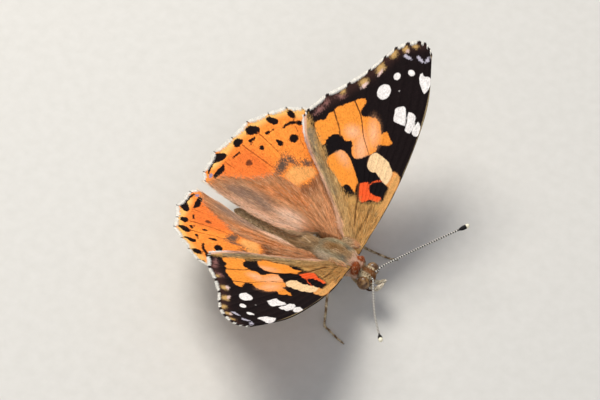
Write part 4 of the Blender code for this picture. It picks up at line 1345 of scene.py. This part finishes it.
def add_tongue(finish):
    """Coiled proboscis, tighter and finer than in the solids."""
    turns = np.linspace(0.0, TONGUE_TURNS, 40)
    angle = TONGUE_START + turns * 2 * pi
    reach = TONGUE_OUTER - TONGUE_PITCH * turns
    x, y, z = TONGUE_CENTRE
    path = [(0.0, -3.70, -3.25)]
    path += [(x, y - r * cos(a), z + r * sin(a)) for r, a in zip(reach, angle)]

    def radius(share):
        ring = 1.0 + 0.06 * np.abs(np.sin(pi * TONGUE_RINGS * share))
        return mix(*TONGUE_RADII, share) * ring * rounded_ends(share, 60)
    surface = tube_surface(path, radius, 400)
    rounded_piece("proboscis", surface, 300, 12, [finish], ["proboscis"])


def add_body(fur):
    skin = skin_finish("body_skin")
    rounded_piece("body_skin", body_surface, 200, 64, [skin],
                  ["head", "prothorax", "thorax", "abdomen"], BODY_TINT)
    thorax, collar = within(COLLAR_REAR, THORAX_REAR), within(HEAD_REAR, COLLAR_REAR)
    tail = within(TAIL_FUR_START, TAIL_END)
    coat("thorax_fur", body_surface, HAIRS["thorax"], thorax, thorax_lie, fur_tint, fur)
    coat("collar_fur", body_surface, HAIRS["collar"], collar, collar_lie, fur_tint, fur)
    coat("head_fur", body_surface, HAIRS["head"], head_density, head_lie, head_tint, fur)
    for word, side in SIDES.items():
        add_tegula(word, side, skin, fur)
    coat("abdomen_fur", body_surface, HAIRS["abdomen"], tail, abdomen_lie, fur_tint, fur)


TEGULA_PLACE = (2.18, 0.95, 0.30)
TEGULA_SIZE = (0.52, 1.45, 0.30)
TEGULA_TINT = shades(
    (1.0, srgb(196, 168, 130)), (lambda s: ease(s[:, 1], 0.7, -0.4), srgb(206, 150, 106)),
    (lambda s: ease(np.abs(s[:, 0]), 2.2, 2.6), srgb(186, 128, 74)),
    (freckles(0.12), srgb(236, 210, 174)), (freckles(0.10), srgb(126, 92, 60)))


def add_tegula(word, side, skin, fur):
    """The furry flap over a forewing's root, and the long hair that runs back from it."""
    def surface(share, angle):
        turn = pi * (share - 0.5)
        x = TEGULA_SIZE[0] * np.cos(turn) * np.cos(angle)
        z = TEGULA_SIZE[2] * np.cos(turn) * np.sin(angle)
        tilt = x * cos(DIHEDRAL) - z * sin(DIHEDRAL)
        y = TEGULA_PLACE[1] + TEGULA_SIZE[1] * np.sin(turn)
        level = TEGULA_PLACE[2] + x * sin(DIHEDRAL) + z * cos(DIHEDRAL)
        return np.stack([side * (TEGULA_PLACE[0] + tilt), y, level], axis=-1)
    rounded_piece(f"tegula_{word}", surface, 24, 20, [skin], [], TEGULA_TINT)
    coat(f"tegula_{word}_fur", surface, HAIRS["tegula"], tegula_density, tegula_lie, TEGULA_TINT,
         fur)


def tegula_density(spots):
    return ease(spots[:, 2], 0.0, 0.3)


def tegula_lie(spots):
    back = ease(spots[:, 1], 0.0, 2.2)
    return lay(spots, mix(0.7, 2.1, back), HAIR_WIDTH, mix(0.22, 0.12, back))


def from_eye(spots, size=1.0):
    """Squared distance from an eye's middle, which is 1 at its surface, or at a share of its size."""
    reach = (one_side(spots) - EYE_PLACE) / (size * np.array(EYE_SIZE))
    return np.sum(reach ** 2, axis=1)


def head_density(spots):
    """Hair everywhere on the head but under the eyes."""
    return within(HEAD_FRONT, HEAD_REAR)(spots) * ease(from_eye(spots, 0.86), 0.9, 1.1)


def head_tint(spots):
    """Brown hair, cream round the eyes and along the brow."""
    colours = fur_tint(spots)
    rim = ease(from_eye(spots), 1.55, 1.2) * (RNG.random(len(spots)) < 0.7)
    rows = zigzag(spots)[:, None]
    beside = (ease(np.abs(spots[:, 0]), 0.30, 0.46) * ease(spots[:, 2], -2.2, -1.6))[:, None]
    colours = mix(colours, tone(70, 44, 28), 0.75 * beside)
    colours = mix(colours, tone(240, 220, 182), rows)
    return mix(colours, tone(236, 222, 192), rim[:, None])


def inside(mark, soft):
    """Share of a wing mark at each spot."""
    return lambda spots: ease(nearest(mark, spots), soft, -soft)


FORE_HAIR_TINT = shades(
    (1.0, srgb(216, 166, 98)), (lambda s: ease(s[:, 1] - s[:, 0] * 0.9, -1.5, 1.0), srgb(200, 162, 108)),
    (inside(FORE_MARKS["umber"], 0.5), srgb(166, 146, 112)), (freckles(0.12), srgb(232, 198, 136)),
    (freckles(0.10), srgb(142, 96, 52)), (inside(FORE_MARKS["vein"], 0.12), srgb(104, 66, 32)),
    (inside(FORE_MARKS["pink_rim"], 0.4), srgb(230, 184, 156)))
HIND_HAIR_TINT = shades(
    (1.0, srgb(212, 152, 104)), (inside(HIND_MARKS["copper"], 0.8), srgb(214, 140, 84)),
    (inside(HIND_MARKS["dusk"], 0.9), srgb(176, 142, 120)),
    (inside(HIND_MARKS["brown"], 0.5), srgb(160, 104, 66)),
    (inside(HIND_MARKS["silk_and_highlight"], 0.8), srgb(240, 206, 180)), (freckles(0.10), srgb(232, 190, 150)),
    (freckles(0.06), srgb(160, 108, 72)))
FORE_INNER_TINT = shades(
    (1.0, srgb(222, 178, 146)), (past(9.0, 12.0), srgb(196, 168, 166)),
    (past(13.0, 14.5), srgb(246, 240, 232)))
HIND_INNER_TINT = shades(
    (1.0, srgb(196, 164, 126)), (past(8.0, 11.0), srgb(222, 192, 162)),
    (past(18.0, 22.0), srgb(240, 226, 208)))
HIND_ROOT_TINT = shades((1.0, srgb(196, 160, 122)))


def fore_hair_density(spots):
    base = ease(np.hypot(spots[:, 0], spots[:, 1] * 0.9), 7.4, 2.6)
    rear = ease(spots[:, 0], 12.5, 7.0) * ease(spots[:, 1] - 0.95 * spots[:, 0], -1.6, 0.4)
    return np.maximum(base, 0.55 * rear) * inside(FORE_MARKS["hair"], 0.4)(spots)


def hind_hair_density(spots):
    tan = inside(HIND_MARKS["tan"], 0.5)(spots)
    return tan * mix(1.0, 0.5, ease(spots[:, 1], 14.0, 22.0))


def hair_lie(length):
    """Hair that lies close along a wing, longer and looser near the root."""
    def lie(spots):
        near = ease(np.hypot(*spots.T), 9.0, 2.0)
        return lay(spots, mix(length, length * 1.25, near), HAIR_WIDTH, mix(0.04, 0.08, near))
    return lie


def thinning(root, edge, start, end):
    """Hair length that changes along a wing's inner edge."""
    return lambda spots: mix(root, edge, ease(spots[:, 1], start, end))


def add_forewing(word, faces, fur, fringe):
    name = f"forewing_{word}"
    face = wing(name, word, FORE_LINES, fore_rise, FORE_MARKS, FORE_UNDER, faces)
    wing_hair(f"{name}_hair", face, HAIRS["forewing"], fore_hair_density, hair_lie(1.1),
              FORE_HAIR_TINT, fur)
    wing_fringe(f"{name}_fringe", face, FORE_LINES, 0.34, fringe)
    margin_hair(f"{name}_inner_hair", face, fringe, 0.02, 1.0, FORE_INNER_TINT,
                thinning(1.3, 0.5, 2.0, 5.5), turn=0.7)


def add_hindwing(word, faces, fur, fringe):
    name = f"hindwing_{word}"
    lines = [*HIND_LINES, [place[:2] for place in HIND_INNER[word]]]
    face = wing(name, word, lines, hind_rise, HIND_MARKS, HIND_UNDER, faces)
    wing_hair(f"{name}_hair", face, HAIRS["hindwing"], hind_hair_density, hair_lie(1.8),
              HIND_HAIR_TINT, fur)
    wing_fringe(f"{name}_fringe", face, lines, 0.10, fringe)
    margin_hair(f"{name}_inner_hair", face, fringe, 0.03, 1.0, HIND_INNER_TINT,
                thinning(2.2, 0.7, 6.5, 12.0))
    margin_hair(f"{name}_root_hair", face, fringe, 0.0, 0.24, HIND_ROOT_TINT,
                lambda spots: 1.5, step=0.02, turn=1.8)


def towards(azimuth, elevation):
    """The way to an azimuth and elevation in degrees, where 0, 0 is straight ahead of the butterfly."""
    a, e = radians(azimuth), radians(elevation)
    return Vector((sin(a) * cos(e), -cos(a) * cos(e), sin(e)))


def add_camera():
    data = bpy.data.cameras.new("camera")
    data.lens = LENS
    data.sensor_width = SENSOR
    data.clip_start = 0.01
    camera = bpy.data.objects.new("camera", data)
    back = towards(VIEW_AZIMUTH, VIEW_ELEVATION)
    level = back.to_track_quat("Z", "Y").to_matrix().to_4x4()
    turn = level @ Matrix.Rotation(radians(VIEW_ROLL), 4, "Z")
    camera.matrix_world = Matrix.Translation((Vector(VIEW_AIM) + back * VIEW_DISTANCE) * MM) @ turn
    bpy.context.scene.collection.objects.link(camera)
    bpy.context.scene.camera = camera


def add_light(name, azimuth, elevation, distance, size, watts, colour):
    """A soft square lamp that looks at the butterfly from an azimuth and elevation, as the camera's are."""
    data = bpy.data.lights.new(name, "AREA")
    data.size = size
    data.energy = watts
    data.color = colour
    lamp = bpy.data.objects.new(name, data)
    back = towards(azimuth, elevation)
    lamp.location = Vector(VIEW_AIM) * MM + back * distance
    lamp.rotation_mode = "QUATERNION"
    lamp.rotation_quaternion = back.to_track_quat("Z", "Y")
    bpy.context.scene.collection.objects.link(lamp)


def add_stage():
    """A plain pale floor and soft studio light."""
    bm = bmesh.new()
    bmesh.ops.create_grid(bm, x_segments=1, y_segments=1, size=3.0)
    mesh = to_mesh(bm, "floor", smooth=False)
    floor = bpy.data.objects.new("floor", mesh)
    bpy.context.scene.collection.objects.link(floor)
    made = Finish("floor_paper", roughness=0.9)
    grain = made.noise(made.place(), 0.6, 4.0)
    mesh.materials.append(made.finish(made.blend(grain, srgb(208, 206, 200), srgb(220, 218, 213))))
    world = bpy.data.worlds.new("studio")
    bpy.context.scene.world = world
    world.use_nodes = True
    sky = world.node_tree.nodes["Background"]
    sky.inputs["Color"].default_value = (0.86, 0.90, 1.0, 1.0)
    sky.inputs["Strength"].default_value = 0.30
    add_light("key", azimuth=-200.0, elevation=58.0, distance=0.5, size=0.25, watts=2.6,
              colour=(1.0, 0.96, 0.90))
    add_light("fill", azimuth=-60.0, elevation=40.0, distance=0.6, size=0.4, watts=0.8,
              colour=(0.94, 0.97, 1.0))
    bpy.context.scene.view_settings.view_transform = "Standard"


add_camera()
add_stage()
fur = coat_finish("fine_hair")
# Fringe hairs with weaker painted root shade and tip light
fringe = coat_finish("fringe_hair", lift=0.1)
fore_faces = [wing_finish("fore_scales", FORE_DARK, FORE_PAINT),
              wing_finish("fore_under_scales", FORE_BUFF, FORE_UNDER_PAINT)]
hind_faces = [wing_finish("hind_scales", HIND_ORANGE, HIND_PAINT),
              wing_finish("hind_under_scales", HIND_BUFF, HIND_UNDER_PAINT)]
for word in SIDES:
    add_forewing(word, fore_faces, fur, fringe)
    add_hindwing(word, hind_faces, fur, fringe)
add_body(fur)
add_limbs(fur)
